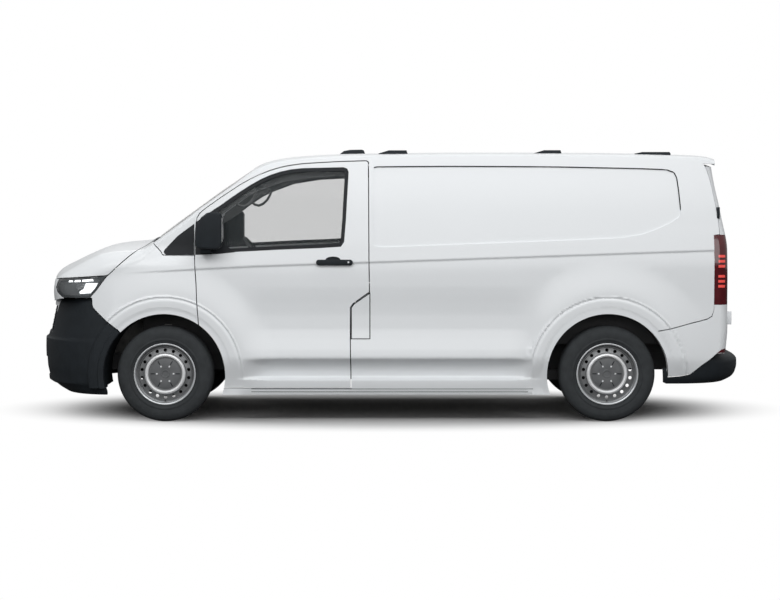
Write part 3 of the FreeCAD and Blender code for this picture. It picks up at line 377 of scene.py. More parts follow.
def duplicate(obj, name):
    copy = bpy.data.objects.new(name, obj.data.copy())
    scene.collection.objects.link(copy)
    return copy


def mirrored(obj, name):
    copy = duplicate(obj, name)
    for vert in copy.data.vertices:
        vert.co.y = -vert.co.y
    copy.data.flip_normals()
    return copy


def biggest(obj):
    """Keep only the largest connected part of a mesh."""
    bm = bmesh.new()
    bm.from_mesh(obj.data)
    left = set(bm.verts)
    islands = []
    while left:
        island = [left.pop()]
        for vert in island:
            for edge in vert.link_edges:
                other = edge.other_vert(vert)
                if other in left:
                    left.remove(other)
                    island.append(other)
        islands.append(island)
    islands.sort(key=len)
    for island in islands[:-1]:
        bmesh.ops.delete(bm, geom=island, context="VERTS")
    bm.to_mesh(obj.data)
    bm.free()
    return obj


def smooth(obj, angle):
    obj.data.shade_smooth()
    obj.data.set_sharp_from_angle(angle=math.radians(angle))
    return obj


def spin(name, profile, count, x=0.0, z=0.0):
    """Ring of a (radius, y) outline turned about the Y axis at x, z."""
    verts = []
    faces = []
    m = len(profile)
    for k in range(count):
        a = 2 * math.pi * k / count
        verts += [(x + r * math.cos(a), y, z + r * math.sin(a)) for r, y in profile]
        n = (k + 1) % count
        for i in range(m):
            j = (i + 1) % m
            faces.append((k * m + i, k * m + j, n * m + j, n * m + i))
    return outward(new_object(name, verts, faces))


def steps(start, stop, step):
    count = max(1, int(round((stop - start) / step)))
    return [start + (stop - start) * k / count for k in range(count + 1)]


# Materials: every one is a node network with its own fine structure


def fill(tree, node, inputs):
    """Give a node's inputs their values, or link them to the outputs of other nodes."""
    for name, value in inputs.items():
        if isinstance(value, bpy.types.NodeSocket):
            tree.links.new(value, node.inputs[name])
        else:
            node.inputs[name].default_value = value


def add_node(tree, kind, inputs, **settings):
    """New shader node with its settings and inputs."""
    node = tree.nodes.new("ShaderNode" + kind)
    for name, value in settings.items():
        setattr(node, name, value)
    fill(tree, node, inputs)
    return node


def material(name, color, roughness, metallic=0.0, coat=0.0, coat_rough=0.05, spread=0.03,
             scale=6.0, bump=0.0, bump_scale=900.0, rough_spread=0.06, specular=0.5, sheen=0.0):
    """Surface whose colour and roughness vary with broad noise, over a fine grain."""
    mat = bpy.data.materials.new(name)
    mat.use_nodes = True
    tree = mat.node_tree
    shader = tree.nodes["Principled BSDF"]
    place = add_node(tree, "TexCoord", {}).outputs["Object"]
    broad = add_node(tree, "TexNoise", {"Scale": scale, "Detail": 4.0, "Vector": place}).outputs["Fac"]
    ramp = add_node(tree, "ValToRGB", {"Fac": broad})
    for stop, position, factor in zip(ramp.color_ramp.elements, (0.3, 0.7), (1.0 - spread, 1.0 + spread)):
        stop.position = position
        stop.color = [min(1.0, c * factor) for c in color] + [1.0]
    wear = add_node(tree, "MapRange", {"Value": broad, "To Min": max(0.02, roughness - rough_spread),
                                       "To Max": min(1.0, roughness + rough_spread)})
    fill(tree, shader, {"Base Color": ramp.outputs["Color"], "Roughness": wear.outputs["Result"],
                        "Metallic": metallic, "Coat Weight": coat, "Coat Roughness": coat_rough,
                        "Specular IOR Level": specular, "IOR": 1.5, "Sheen Weight": sheen})
    if bump > 0:
        fine = add_node(tree, "TexNoise", {"Scale": bump_scale, "Detail": 3.0, "Vector": place})
        grain = add_node(tree, "Bump", {"Strength": bump, "Distance": 0.001, "Height": fine.outputs["Fac"]})
        fill(tree, shader, {"Normal": grain.outputs["Normal"]})
    return mat


def glass_material(name, color, clear, gloss=1.0):
    mat = material(name, color, 0.03, coat=gloss, coat_rough=0.02, spread=0.02, rough_spread=0.01,
                   specular=0.25 + 0.25 * gloss)
    mat.node_tree.nodes["Principled BSDF"].inputs["Alpha"].default_value = 1.0 - clear
    return mat


def light_up(mat, color, strength):
    fill(mat.node_tree, mat.node_tree.nodes["Principled BSDF"],
         {"Emission Color": color, "Emission Strength": strength})
    return mat


paint = material("white_paint", (0.80, 0.825, 0.845), 0.42, coat=0.3, coat_rough=0.14, spread=0.008,
                 scale=2.0, bump=0.02, bump_scale=500.0, rough_spread=0.03)
plastic = material("grained_black_plastic", (0.013, 0.017, 0.021), 0.64, spread=0.12,
                   scale=14.0, bump=0.5, bump_scale=1300.0, specular=0.25)
frame_black = material("window_frame_black", (0.010, 0.012, 0.015), 0.55, spread=0.08,
                       scale=12.0, bump=0.1, specular=0.25)
dark_gloss = material("gloss_black", (0.010, 0.011, 0.013), 0.16, coat=0.5, spread=0.05,
                      scale=8.0, bump=0.02)
cap_grey = material("wheel_cap_grey", (0.115, 0.12, 0.125), 0.5, spread=0.08, scale=25.0,
                    bump=0.25)
rubber = material("tyre_rubber", (0.034, 0.038, 0.041), 0.78, spread=0.14, scale=20.0, bump=0.45,
                  bump_scale=1500.0, specular=0.3)
silver = material("wheel_silver", (0.66, 0.68, 0.70), 0.38, metallic=0.7, spread=0.04, scale=20.0,
                  bump=0.05, bump_scale=1600.0)
disc_grey = material("wheel_disc_grey", (0.20, 0.205, 0.21), 0.42, metallic=0.6, spread=0.06,
                     scale=20.0, bump=0.05)
crest_silver = material("wheel_crest_silver", (0.84, 0.85, 0.86), 0.42, metallic=0.35, spread=0.03,
                        scale=20.0, bump=0.04)
chassis = material("chassis_black", (0.030, 0.031, 0.033), 0.6, spread=0.25, scale=9.0, bump=0.4,
                   bump_scale=400.0)
iron = material("cast_iron", (0.16, 0.158, 0.155), 0.62, metallic=0.7, spread=0.25, scale=18.0,
                bump=0.7, bump_scale=500.0)
trim_grey = material("cab_plastic", (0.045, 0.047, 0.05), 0.66, spread=0.1, scale=12.0, bump=0.5,
                     bump_scale=1400.0)
pillar_grey = material("pillar_trim_grey", (0.17, 0.175, 0.175), 0.7, spread=0.06, scale=12.0,
                       bump=0.4, bump_scale=1400.0)
window = glass_material("window_glass", (0.10, 0.115, 0.12), 0.86, 0.0)
screen_glass = glass_material("screen_glass", (0.10, 0.115, 0.12), 0.62)
mirror_silver = material("mirror_glass", (0.55, 0.57, 0.58), 0.05, metallic=1.0, spread=0.01,
                         rough_spread=0.01)
lamp_glass = glass_material("lamp_cover", (0.16, 0.175, 0.185), 0.72)
glow = light_up(material("lamp_light", (0.95, 0.97, 1.0), 0.2, coat=0.5, spread=0.01),
                (0.95, 0.98, 1.0, 1.0), 2.2)
reflector = material("lamp_reflector", (0.42, 0.44, 0.46), 0.18, metallic=0.9, spread=0.05)
red_glass = material("tail_lamp_red", (0.085, 0.004, 0.008), 0.12, coat=1.0, coat_rough=0.03,
                     spread=0.15, scale=30.0, bump=0.03)
red_bar = light_up(material("tail_lamp_bar", (0.62, 0.055, 0.05), 0.25, coat=1.0, spread=0.05),
                   (1.0, 0.12, 0.09, 1.0), 0.35)
tank_plastic = material("tank_plastic", (0.035, 0.035, 0.036), 0.55, spread=0.15, scale=10.0,
                        bump=0.3)
cloth = material("seat_cloth", (0.045, 0.047, 0.052), 0.9, spread=0.2, scale=40.0, bump=0.9,
                 sheen=0.3)

BY_SLOT = {"paint": paint, "black_plastic": plastic, "glass": window, "lamp": lamp_glass,
           "tail_lamp": red_glass, "tyre": rubber, "rim": silver, "steel": chassis, "iron": iron,
           "trim": trim_grey, "seat": cloth, "tank": tank_plastic}
slots = {part["node"]: part["material_slot"] for part in frame["record"]["subparts"]}
for node, obj in frame["nodes"].items():
    chosen = screen_glass if node == "windscreen" else BY_SLOT[slots[node]]
    if obj.material_slots:
        for entry in obj.material_slots:
            entry.material = chosen
    else:
        obj.data.materials.append(chosen)


def finish_piece(obj, body, mat, *nodes, angle=28.0, shade=smooth, slot=None):
    obj.data.materials.clear()
    obj.data.materials.append(mat)
    shade(obj, angle)
    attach(obj, body)
    if nodes:
        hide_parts(*nodes)
    return obj


def pair(obj, body, mat, *nodes, **how):
    """Finish a left piece and its mirror image; left becomes right in the names of the second."""
    name, other_body, *other_nodes = [word.replace("left", "right") for word in (obj.name, body) + nodes]
    other = mirrored(obj, name)
    finish_piece(obj, body, mat, *nodes, **how)
    finish_piece(other, other_body, mat, *other_nodes, **how)


# Outlines in side view, as (X, Z), shared with the solid model

BONNET_LINE = [(-1698, 1259), (-1762, 1215), (-1832, 1157), (-1903, 1094), (-1967, 1034)]
LAMP_OUTLINE = [
    (-1984, 1024), (-2019, 974), (-2055, 925), (-2103, 870), (-2300, 872), (-2340, 905), (-2356, 939),
    (-2334, 1001)
]
DOOR_FRONT = [(-1339, 692), (-1346, 786), (-1351, 856), (-1355, 961), (-1364, 1080)]
WING_OUTLINE = BONNET_LINE + [(-1980, 1024), (-2019, 974), (-2055, 925), (-2103, 872), (-2088, 866),
                              (-2086, 825), (-2081, 804), (-2053, 772), (-2004, 726), (-1955, 688),
                              (-1896, 642), (-1800, 500), (-1350, 500)] + DOOR_FRONT
WING_OUTLINE += [(-1367, 1168), (-1590, 1170), (-1606, 1196), (-1650, 1240), (-1668, 1262)]
DOOR_OUTLINE = [(-1367, 1174), (-1365, 1300), (-1360, 1386), (-1352, 1430), (-1335, 1461), (-1300, 1491),
                (-1195, 1566), (-1054, 1660), (-984, 1699), (-914, 1733), (-843, 1761), (-773, 1782),
                (-703, 1797), (-600, 1810), (-353, 1824), (-168, 1829), (-154, 1818), (-149, 1136),
                (-146, 912), (-212, 866), (-261, 831), (-279, 803), (-280, 576), (-276, 238), (-1200, 238),
                (-1300, 400)] + DOOR_FRONT
WINDOW_OUTLINE = [
    (-1318, 1424), (-1261, 1466), (-1191, 1516), (-1121, 1566), (-1050, 1615), (-980, 1660), (-910, 1699),
    (-841, 1730), (-771, 1753), (-701, 1768), (-620, 1777), (-330, 1784), (-302, 1774), (-292, 1750),
    (-303, 1554), (-310, 1414), (-322, 1262), (-345, 1228), (-492, 1219), (-772, 1208), (-1080, 1192),
    (-1318, 1178)
]
SAIL_OUTLINE = [(-1374, 1384), (-1401, 1365), (-1485, 1301), (-1542, 1238), (-1584, 1186), (-1374, 1178)]
PILLAR_CUT = [
    (-1374, 1169), (-1374, 100), (-2000, 100), (-2000, 1500), (-1700, 1297), (-1668, 1266), (-1653, 1240),
    (-1610, 1195), (-1592, 1169)
]
FLAP_OUTLINE = [(-143, 905), (-143, 584), (-273, 584), (-273, 801), (-256, 826), (-209, 859)]
RECESS_OUTLINE = [
    (-118, 1240), (-118, 1782), (-90, 1788), (417, 1791), (1116, 1788), (1746, 1775), (1935, 1768),
    (1990, 1748), (2008, 1710), (2019, 1624), (2031, 1484), (2022, 1446), (1985, 1412), (1888, 1364),
    (1749, 1314), (1620, 1293), (1469, 1285), (768, 1257), (68, 1232), (-73, 1227)
]
REAR_SHUT = [
    (2190, 1808), (2200, 1800), (2216, 1770), (2234, 1710), (2252, 1631), (2270, 1540), (2289, 1421),
    (2299, 1316), (2258, 1310), (2262, 1135), (2262, 924), (2262, 790), (2246, 745), (2218, 727),
    (2169, 713), (2099, 697), (2029, 678), (1959, 660), (1868, 643)
]
SLIDING_OUTLINE = [(-128, 1826), (-128, 330), (1010, 330), (1010, 1826)]


def rounded(points):
    """Closed outline with its corners cut off."""
    result = []
    for k, (ax, az) in enumerate(points):
        bx, bz = points[(k + 1) % len(points)]
        result.append((ax * 0.8 + bx * 0.2, az * 0.8 + bz * 0.2))
        result.append((ax * 0.2 + bx * 0.8, az * 0.2 + bz * 0.8))
    return result


def station_point(t):
    return table(station_curves[0], t), table(station_curves[1], t)


def stations_by(t0, t1, far, near=0.0, spot=0.0):
    """Station numbers whose profile points lie at most a given distance apart, closer near a wheel."""
    ts = [t0]
    t = t0
    while t < t1 - 1e-6:
        x, z = station_point(t)
        next_x, next_z = station_point(t + 0.02)
        speed = math.hypot(next_x - x, next_z - z) / 0.02
        limit = near if near and abs(x - spot) < 565.0 else far
        t = min(t1, t + limit / max(speed, 20.0))
        ts.append(t)
    return ts


def side_rows(first, last, above, below):
    """Rows down the side with closer ones at the creases and round the wheels."""
    levels = side_levels(0.0, 1830.0)
    rows = []
    for k in range(first, last):
        span = levels[k] - levels[k + 1]
        limit = below if levels[k + 1] < 890.0 else above
        if 6 <= k <= 9:
            limit = 5.0
        count = max(1, math.ceil(span / limit))
        rows += [("side", k + m / count) for m in range(count)]
    return rows + [("side", last)]


def side_normal(x, z, sign):
    """Outward direction of the side surface."""
    h = 0.6
    across = (body_side(x + h, z) - body_side(x - h, z)) / (2 * h)
    up = (body_side(x, z + h) - body_side(x, z - h)) / (2 * h)
    return Vector((-across, sign, -up)).normalized()


def shade_side(obj, angle):
    """Smooth a panel and give what lies on the side surface the direction of the formula."""
    smooth(obj, angle)
    mesh = obj.data
    directions = {}
    for vert in mesh.vertices:
        x, y, z = [c * 1000.0 for c in vert.co]
        if z > 150.0 and abs(abs(y) - body_side(x, z)) < 0.8:
            directions[vert.index] = side_normal(x, z, math.copysign(1.0, y))
    normals = [Vector(corner.vector) for corner in mesh.corner_normals]
    for face in mesh.polygons:
        for k in face.loop_indices:
            index = mesh.loops[k].vertex_index
            if index in directions and face.normal.dot(directions[index]) > 0.75:
                normals[k] = directions[index]
    mesh.normals_split_custom_set(normals)
    return obj


def row_set(kind, *values):
    """Rows of one kind across the body: shares of the roof, degrees of its edge or levels of the side."""
    return [(kind, value) for value in values]


def halves(first, last):
    """Rows down the side, half a level apart."""
    return row_set("side", *[k / 2.0 for k in range(first, last)])


def arch(axle_x):
    """Cutter for the opening of a left wheel arch."""
    return cyl(axle_x, -1100, wheel_z, arch_radius, -300)


def named(obj, name):
    obj.name = name
    return obj


EDGE_ROWS = row_set("top", 0.9495, 0.975, 1.0) + row_set("roll", 12, 24, 36, 48, 60, 72, 84)
BACK_ROWS = row_set("side", 0, 3, 5, 12, 16, 22, 26)

# Body sides: one dense skin, cut with the outlines of the doors, lamps and wheels
skin = slab("side_left_panel", stations_by(N, N + 26, 50.0, 11.0, rear_axle_x),
            EDGE_ROWS + side_rows(0, 26, 45.0, 11.0), row_set("top", 0.95) + row_set("roll", 20) + BACK_ROWS,
            0.0, wall)
cut(skin, prism(outline(DOOR_OUTLINE, half_gap)), arch(rear_axle_x), arch(front_axle_x),
    prism(outline(WING_OUTLINE, half_gap)), prism(PILLAR_CUT), prism(SAIL_OUTLINE),
    prism(REAR_SHUT + [(1868, 100), (3000, 100), (3000, 1808)]))
recess_tool = slab("cutter_recess", steps(N + 16, N + 26, 0.25), halves(0, 16), halves(0, 16), -6.0, 14.0,
                   shaped=False)
within(recess_tool, prism(rounded(outline(RECESS_OUTLINE, 3.0)), far_left, -700))
skin = biggest(cut(skin, recess_tool))
side_right = mirrored(skin, "side_right_panel")
cut(skin, prism(outline(FLAP_OUTLINE, half_gap)))
finish_piece(biggest(skin), "body", paint, "side_left", shade=shade_side)
sliding = duplicate(side_right, "sliding_door_panel")
within(sliding, prism(outline(SLIDING_OUTLINE, -half_gap), 600, 1300))
finish_piece(biggest(sliding), "body", paint, "sliding_door", shade=shade_side)
cut(side_right, prism(outline(SLIDING_OUTLINE, half_gap), 600, 1300))
finish_piece(side_right, "body", paint, "side_right", shade=shade_side)

# Black strip along the upper and rear edge of the pressed field: painted shade where the field's edge steps
# in
shade_strip_line = outline(RECESS_OUTLINE, 2.5)[1:11] + list(reversed(outline(RECESS_OUTLINE, -4.5)[1:11]))
shade_strip = slab("recess_seal_left", steps(N + 15, N + 26, 0.2), halves(0, 16), halves(0, 16), 3.0, 7.0,
            shaped=False)
within(shade_strip, prism(shade_strip_line))
pair(shade_strip, "body", frame_black)

# Cab doors
door = slab("door_left_panel", stations_by(N + 2, N + 17, 50.0, 11.0, front_axle_x),
            row_set("roll", 60, 72, 84) + side_rows(0, 26, 45.0, 11.0), row_set("roll", 20) + BACK_ROWS,
            0.0, wall)
within(door, prism(outline(DOOR_OUTLINE, -half_gap)))
cut(door, prism(WINDOW_OUTLINE), arch(front_axle_x))
pair(biggest(door), "cab_door_left", paint, "door_left", shade=shade_side)

# Bonnet, wings and the painted strip above the bumper, from the nose fan
NOSE_TOP = row_set("top", *[k / 10.0 for k in range(0, 11)]) + row_set("roll", *range(10, 90, 10))
NOSE_BACK = row_set("top", 0.0, 0.5, 1.0) + row_set("roll", 30, 60)
FAN_BACK = row_set("side", 0, 5, 12, 17, 26)
bonnet = slab("bonnet_panel", stations_by(2, N, 26.0), NOSE_TOP + halves(0, 28), NOSE_BACK + FAN_BACK[:3],
              0.0, lid_wall, True)
bonnet_outline = [(-1708, 1400), (-1700, 1257), (-1760, 1213)] + BONNET_LINE[2:]
bonnet_outline += [(-1986, 1026), (-2330, 1003), (-2500, 984), (-2500, 1400)]
within(bonnet, through(outline(bonnet_outline, -half_gap)))
rear_trim = [
    (-1712, 0), (-1706, -400), (-1690, -850), (-1600, -1100), (-1400, -1100), (-1400, 1100), (-1600, 1100),
    (-1690, 850), (-1706, 400)
]
cut(bonnet, tower(rear_trim, 900, 1500))
finish_piece(biggest(bonnet), "bonnet_lid", paint, "bonnet", shade=shade_side)

wing_rows = NOSE_TOP[7:] + row_set("side", *[k / 6.0 for k in range(0, 66)])
wing_rows += row_set("side", *[k / 14.0 for k in range(154, 239)])
wing = slab("wing_left_panel", stations_by(1, N + 5, 12.0), wing_rows,
            row_set("top", 0.75) + NOSE_BACK[2:] + FAN_BACK[:4], 0.0, 40.0)
within(wing, prism(outline(WING_OUTLINE, -half_gap), far_left, -500))
cut(wing, arch(front_axle_x))
pair(biggest(wing), "body", paint, "wings", shade=shade_side)

fascia = slab("fascia_panel", stations_by(0, N - 5, 26.0), NOSE_TOP + halves(0, 17), NOSE_BACK + FAN_BACK[:2],
              0.0, lid_wall, True)
fascia_outline = [
    (-2500, 978), (-2336, 997), (-2300, 980), (-2290, 866), (-2330, 860), (-2420, 830), (-2500, 830)
]
within(fascia, through(fascia_outline))
cut(fascia, box(-2600, -2300, -560, 560, 888, 938), prism(LAMP_OUTLINE, far_left, -300),
    prism(LAMP_OUTLINE, 300, -far_left))
finish_piece(biggest(fascia), "body", paint, "fascia", shade=shade_side)

# Roof
roof_rows = row_set("top", *[0.949 * k / 12.0 for k in range(0, 13)])
roof = slab("roof_panel", stations_by(N + 8, N + 26, 40.0), roof_rows, row_set("top", 0.0, 0.6, 0.925),
            0.0, lid_wall, True)
finish_piece(roof, "body", paint, "roof", shade=shade_side)

# Bow of the tail below the roof, as (height, X from tail_x)
TAIL = [
    (300, -30), (470, -16), (560, -6), (650, 0), (800, -2), (985, -2), (1128, -4), (1220, -6), (1270, -12),
    (1412, -42), (1533, -66), (1660, -94), (1767, -112), (1860, -124)
]


def wrap(name, levels, front, depth, thick, end_y, shaped=True):
    """Body skin round the left rear corner, from the side to the tail."""
    rings = []
    for z in levels:
        loops = []
        for inset in (depth, depth + thick):
            r = max(14.0, tail_round - inset)
            back = tail_x + table(TAIL, z) - inset
            wide = side(back - 100.0, z, inset, False)
            sweep = tail_sweep * ((wide - r) / crown_span) ** 2
            start = back - sweep - r
            points = []
            for x in front:
                px = start if x is None else min(x, start - 1.0)
                points.append((px, -body_side(px, z, inset, shaped and inset < 15.0), z))
            wide = -points[-1][1]
            for a in (range(6, 91, 6) if inset == depth else (45, 90)):
                t = math.radians(a)
                points.append((start + r * math.sin(t), -(wide - r + r * math.cos(t)), z))
            across = []
            if end_y < 100.0:
                shares = (0.95, 0.85, 0.72, 0.58, 0.44, 0.3, 0.15) if inset == depth else (0.6,)
                across = [(wide - r) * share for share in shares]
            for y in across + [end_y]:
                points.append((back - tail_sweep * (y / crown_span) ** 2, -y, z))
            loops.append(points)
        rings.append(loops[0] + list(reversed(loops[1])))
    return loft(name, rings)


# Rear doors: the top stays below the rear edge of the roof, which they swing under
lip = section(N + 26, row_set("top", 0.0, 0.5, 0.95), lid_wall + gap, False)
lip_loop = [(y, z) for x, y, z in lip] + [(-1200, lip[-1][2]), (-1200, 2000), (0, 2000)]
lip_room = loft("cutter", [[(2100, y, z) for y, z in lip_loop], [(2600, y, z) for y, z in lip_loop]])
leaf = wrap("rear_door_left_panel", steps(516, 1835, 30.0), [2150, None], 0.0, wall, half_gap)
behind_shut = REAR_SHUT[:8] + [(2299, 300), (1000, 300), (1000, 1900), (2185, 1900)]
cut(leaf, prism(outline(behind_shut, half_gap)), lip_room, box(2000, 2600, -1200, -865, 300, 1312))
pair(biggest(leaf), "rear_leaf_left", paint, "rear_door_left")

# Painted corners below the tail lamps
corner_outline = [
    (2264, 822), (2264, 790), (2250, 738), (2219, 720), (2169, 706), (2099, 690), (2029, 671), (1959, 653),
    (1868, 636), (1700, 500), (1890, 318), (1953, 318), (2030, 324), (2099, 337), (2168, 393), (2238, 442),
    (2286, 482), (2500, 482), (2500, 822)
]
corner = wrap("corner_left_panel", steps(310, 826, 16.0), list(range(1700, 2240, 16)) + [None], 0.0, wall,
              872.0)
within(corner, prism(corner_outline, far_left, -872))
cut(corner, arch(rear_axle_x))
pair(biggest(corner), "body", paint, "side_left", shade=shade_side)


# Bumpers: shells through level outlines, as (height, farthest x, half width)

bumper_wall = 34.0


def bumper(name, levels, ends, power, rise, sign):
    """Shell whose level outlines are rounded between straight ends, toward the nose or the tail."""
    fine = []
    for k in range(len(levels) - 1):
        count = max(1, math.ceil((levels[k + 1][0] - levels[k][0]) / rise))
        fine += [k + m / count for m in range(count)]
    curves = [[(k, level[part]) for k, level in enumerate(levels)] for part in range(3)]
    rings = []
    for t in fine + [len(levels) - 1]:
        z, far, wide = [table(curve, t) for curve in curves]
        loops = []
        for inset, count in ((0.0, 49), (bumper_wall, 13)):
            reach = abs(far - ends) - inset
            points = []
            for k in range(count):
                a = math.pi / 2 * k / (count - 1)
                points.append((ends + sign * reach * math.sin(a) ** (2.0 / power),
                               -(wide - inset) * math.cos(a) ** (2.0 / power), z))
            loops.append(points + [(x, -y, z) for x, y, z in reversed(points)][1:])
        rings.append(loops[0] + list(reversed(loops[1])))
    return loft(name, rings)


FRONT_LEVELS = [
    (190, -2372, 955), (222, -2430, 965), (242, -2455, 970), (264, -2502, 976), (306, -2506, 980),
    (372, -2520, 984), (438, -2524, 986), (496, -2525, 987), (566, -2523, 986), (580, -2505, 985),
    (613, -2494, 984), (665, -2482, 980), (738, -2466, 974), (803, -2452, 966), (826, -2450, 963),
    (862, -2400, 958)
]
BUMPER_OUTLINE = [
    (-2600, 100), (-1990, 100), (-1985, 230), (-1800, 330), (-1804, 500), (-1893, 636), (-1950, 681),
    (-1999, 719), (-2048, 765), (-2075, 800), (-2080, 822), (-2082, 862), (-2330, 856), (-2420, 826),
    (-2600, 826)
]
NOSE_PAINT = [
    (-2700, 900), (-2332, 900), (-2335, 862), (-2364, 805), (-2385, 748), (-2406, 690), (-2425, 645),
    (-2700, 620)
]
# Ring of the bumper round the wheel, as (radius from the arch, y from its lip)
RING = [(113, 160), (113, 36), (108, 26), (96, 19), (45, 10), (38, 2), (8, 0), (0, 3), (0, 160)]
front = bumper("front_bumper_shell", FRONT_LEVELS, -1880.0, 2.7, 14.0, -1)
ring_profile = [(arch_radius + r, y - arch_lip_out) for r, y in RING]
bumper_flare = spin("cutter", ring_profile, 160, front_axle_x, wheel_z)
within(bumper_flare, box(-2300, -1700, -1300, 0, 240, 800))
join(front, named(bumper_flare, "cutter_flare"), mirrored(bumper_flare, "cutter_flare_right"))
within(front, through(BUMPER_OUTLINE))
cut(front, cyl(front_axle_x, -1100, wheel_z, arch_radius, 1100), box(-2700, -2300, -640, 640, 610, 800),
    box(-2700, -2300, -560, 560, 290, 430), through(outline(WING_OUTLINE, half_gap)))
nose = within(duplicate(front, "nose_middle"), through(NOSE_PAINT))
cut(front, through(NOSE_PAINT))
finish_piece(nose, "body", paint, "front_bumper", angle=24.0)
finish_piece(biggest(front), "body", plastic, "front_bumper", angle=24.0)

REAR_LEVELS = [
    (268, 2440, 950), (290, 2486, 962), (310, 2506, 970), (336, 2517, 976), (375, 2525, 980),
    (410, 2524, 982), (440, 2500, 978), (462, 2450, 970), (480, 2425, 962)
]
REAR_BUMPER_OUTLINE = [
    (1906, 379), (1913, 277), (1945, 263), (1949, 247), (2700, 200), (2700, 600), (2300, 477), (2284, 475),
    (2236, 437), (2166, 388), (2097, 331), (2028, 318), (1942, 312), (1930, 379)
]
rear = bumper("rear_bumper_shell", REAR_LEVELS, 1900.0, 3.2, 8.0, 1)
within(rear, through(REAR_BUMPER_OUTLINE))
finish_piece(biggest(rear), "body", plastic, "rear_bumper", angle=24.0)

# Inner pieces of the body sides: hinge posts, the filler cup and its flap
POSTS = [
    (-1440, -1376, -925, -845, 740, 1174), (-1440, -1376, -872, -845, 1170, 1375),
    (-1440, -1344, -938, -900, 1090, 1135), (-1440, -1344, -934, -895, 745, 785)
]
for number, place in enumerate(POSTS):
    pair(named(box(*place), "hinge_post_left_%d" % number), "body", paint, "side_left")
cup = slab("filler_cup", steps(N + 15, N + 17, 0.25), halves(18, 34), row_set("side", 9, 16), 40.0, 30.0,
           shaped=False)
within(cup, prism(outline(FLAP_OUTLINE, 16.0)))
cut(cup, prism(outline(DOOR_OUTLINE, half_gap)))
finish_piece(biggest(cup), "body", plastic, "side_left")
flap = slab("fuel_flap_panel", steps(N + 14.5, N + 17, 0.1), side_rows(8, 18, 30.0, 16.0),
            row_set("side", 8, 12, 18), 0.0, 34.0)
within(flap, prism(outline(FLAP_OUTLINE, -half_gap)))
finish_piece(biggest(flap), "filler_flap", paint, "fuel_flap", shade=shade_side)

# Door glass with its black frame
frame_width = 26.0
pane_ts = stations_by(N + 2.5, N + 16.5, 40.0)
pane_rows = row_set("roll", 60, 75) + halves(0, 23)
pane = slab("door_glass_left_pane", pane_ts, pane_rows, pane_rows, 9.0, 5.0, shaped=False)
within(pane, prism(outline(WINDOW_OUTLINE, -frame_width)))
pair(biggest(pane), "cab_door_left", window, "door_glass_left")
frame_trim = slab("window_frame_left", pane_ts, pane_rows, row_set("roll", 40) + row_set("side", 0, 4, 11),
                  2.5, 20.0, shaped=False)
within(frame_trim, prism(outline(WINDOW_OUTLINE, -0.5)))
cut(frame_trim, prism(outline(WINDOW_OUTLINE, -frame_width)))
pair(biggest(frame_trim), "cab_door_left", frame_black, "door_trim_left")


def bevel(obj, width, segments):
    modifier = obj.modifiers.new("round", "BEVEL")
    modifier.width = width / 1000.0
    modifier.segments = segments
    modifier.limit_method = "ANGLE"
    modifier.angle_limit = math.radians(30.0)
    return apply_modifiers(obj)


def round_bar(name, x0, x1, radius, y0, y1, soft):
    """Bar along X with round ends, at the height of the door handles."""
    points = []
    for k in range(26):
        a = math.pi / 2 - math.pi * (k - k // 13) / 12
        middle = x0 + radius if k >= 13 else x1 - radius
        points.append((middle + radius * math.cos(a), handle_z + radius * math.sin(a)))
    return bevel(named(prism(points, y0, y1), name), soft, 3)


# Mirrors with their plates, and the handles
MIRROR_OUTLINE = [
    (-1345, 1300), (-1345, 1240), (-1330, 1222), (-1200, 1214), (-1176, 1224), (-1166, 1250), (-1166, 1436),
    (-1178, 1462), (-1204, 1470), (-1262, 1468), (-1308, 1432), (-1338, 1366)
]
SAIL_PLATE = [
    (-1371, 1389), (-1401, 1368), (-1487, 1304), (-1545, 1244), (-1580, 1206), (-1585, 1193), (-1580, 1180),
    (-1562, 1171), (-1371, 1171)
]
BASE_PLATE = [
    (-1362, 1171), (-1362, 1400), (-1318, 1428), (-1261, 1470), (-1204, 1508), (-1185, 1330), (-1150, 1240),
    (-1085, 1190), (-1200, 1178)
]
SCOOP_OUTLINE = [
    (-456, 1132), (-448, 1148), (-430, 1157), (-400, 1161), (-372, 1158), (-354, 1149), (-344, 1132)
]
handle_z = 1119.0
plate_ts = stations_by(N, N + 8, 25.0)
plate_rows = row_set("roll", 30, 60, 75) + halves(0, 24)
for name, shape, body, nodes in (("mirror_sail_left", SAIL_PLATE, "body", ()),
                                 ("mirror_base_left", BASE_PLATE, "cab_door_left", ("door_trim_left",))):
    plate = slab(name, plate_ts, plate_rows, row_set("roll", 30) + row_set("side", 0, 6, 12), -1.2, 8.0,
                 shaped=False)
    within(plate, prism(shape))
    pair(biggest(plate), body, frame_black, *nodes)
for piece, mat in (
        (bevel(named(prism(MIRROR_OUTLINE, -1131, -1010), "mirror_left"), 22.0, 5), plastic),
        (named(box(-1320, -1240, -1040, -945, 1182, 1202), "mirror_arm_left"), plastic),
        (named(box(-1316, -1244, -1062, -1014, 1186, 1262), "mirror_foot_left"), plastic),
        (named(box(-1167.5, -1165.5, -1112, -1026, 1262, 1430), "mirror_glass_left"), mirror_silver),
        (round_bar("door_handle_left", -518, -261, 20, -1006, -986, 6.0), plastic),
        (round_bar("door_handle_seat_left", -512, -267, 15, -990, -974, 2.0), plastic),
        (spin("lock_left", [(0.2, -1008.5), (6, -1008.5), (7, -1007), (7, -1000), (0.2, -1000)], 24, -292,
              handle_z + 2.0), silver),
        (named(prism(SCOOP_OUTLINE, -988, -972), "handle_scoop_left"), frame_black)):
    pair(piece, "cab_door_left", mat, "door_trim_left", angle=40.0)
slide_grip = round_bar("sliding_door_handle_right", -80, 174, 20, 960, 1006, 6.0)
finish_piece(slide_grip, "body", plastic, "sliding_door", angle=40.0)
latch = bevel(named(box(tail_x - 30, tail_x + 22, 30, 190, 985, 1025), "rear_door_handle"), 6.0, 3)
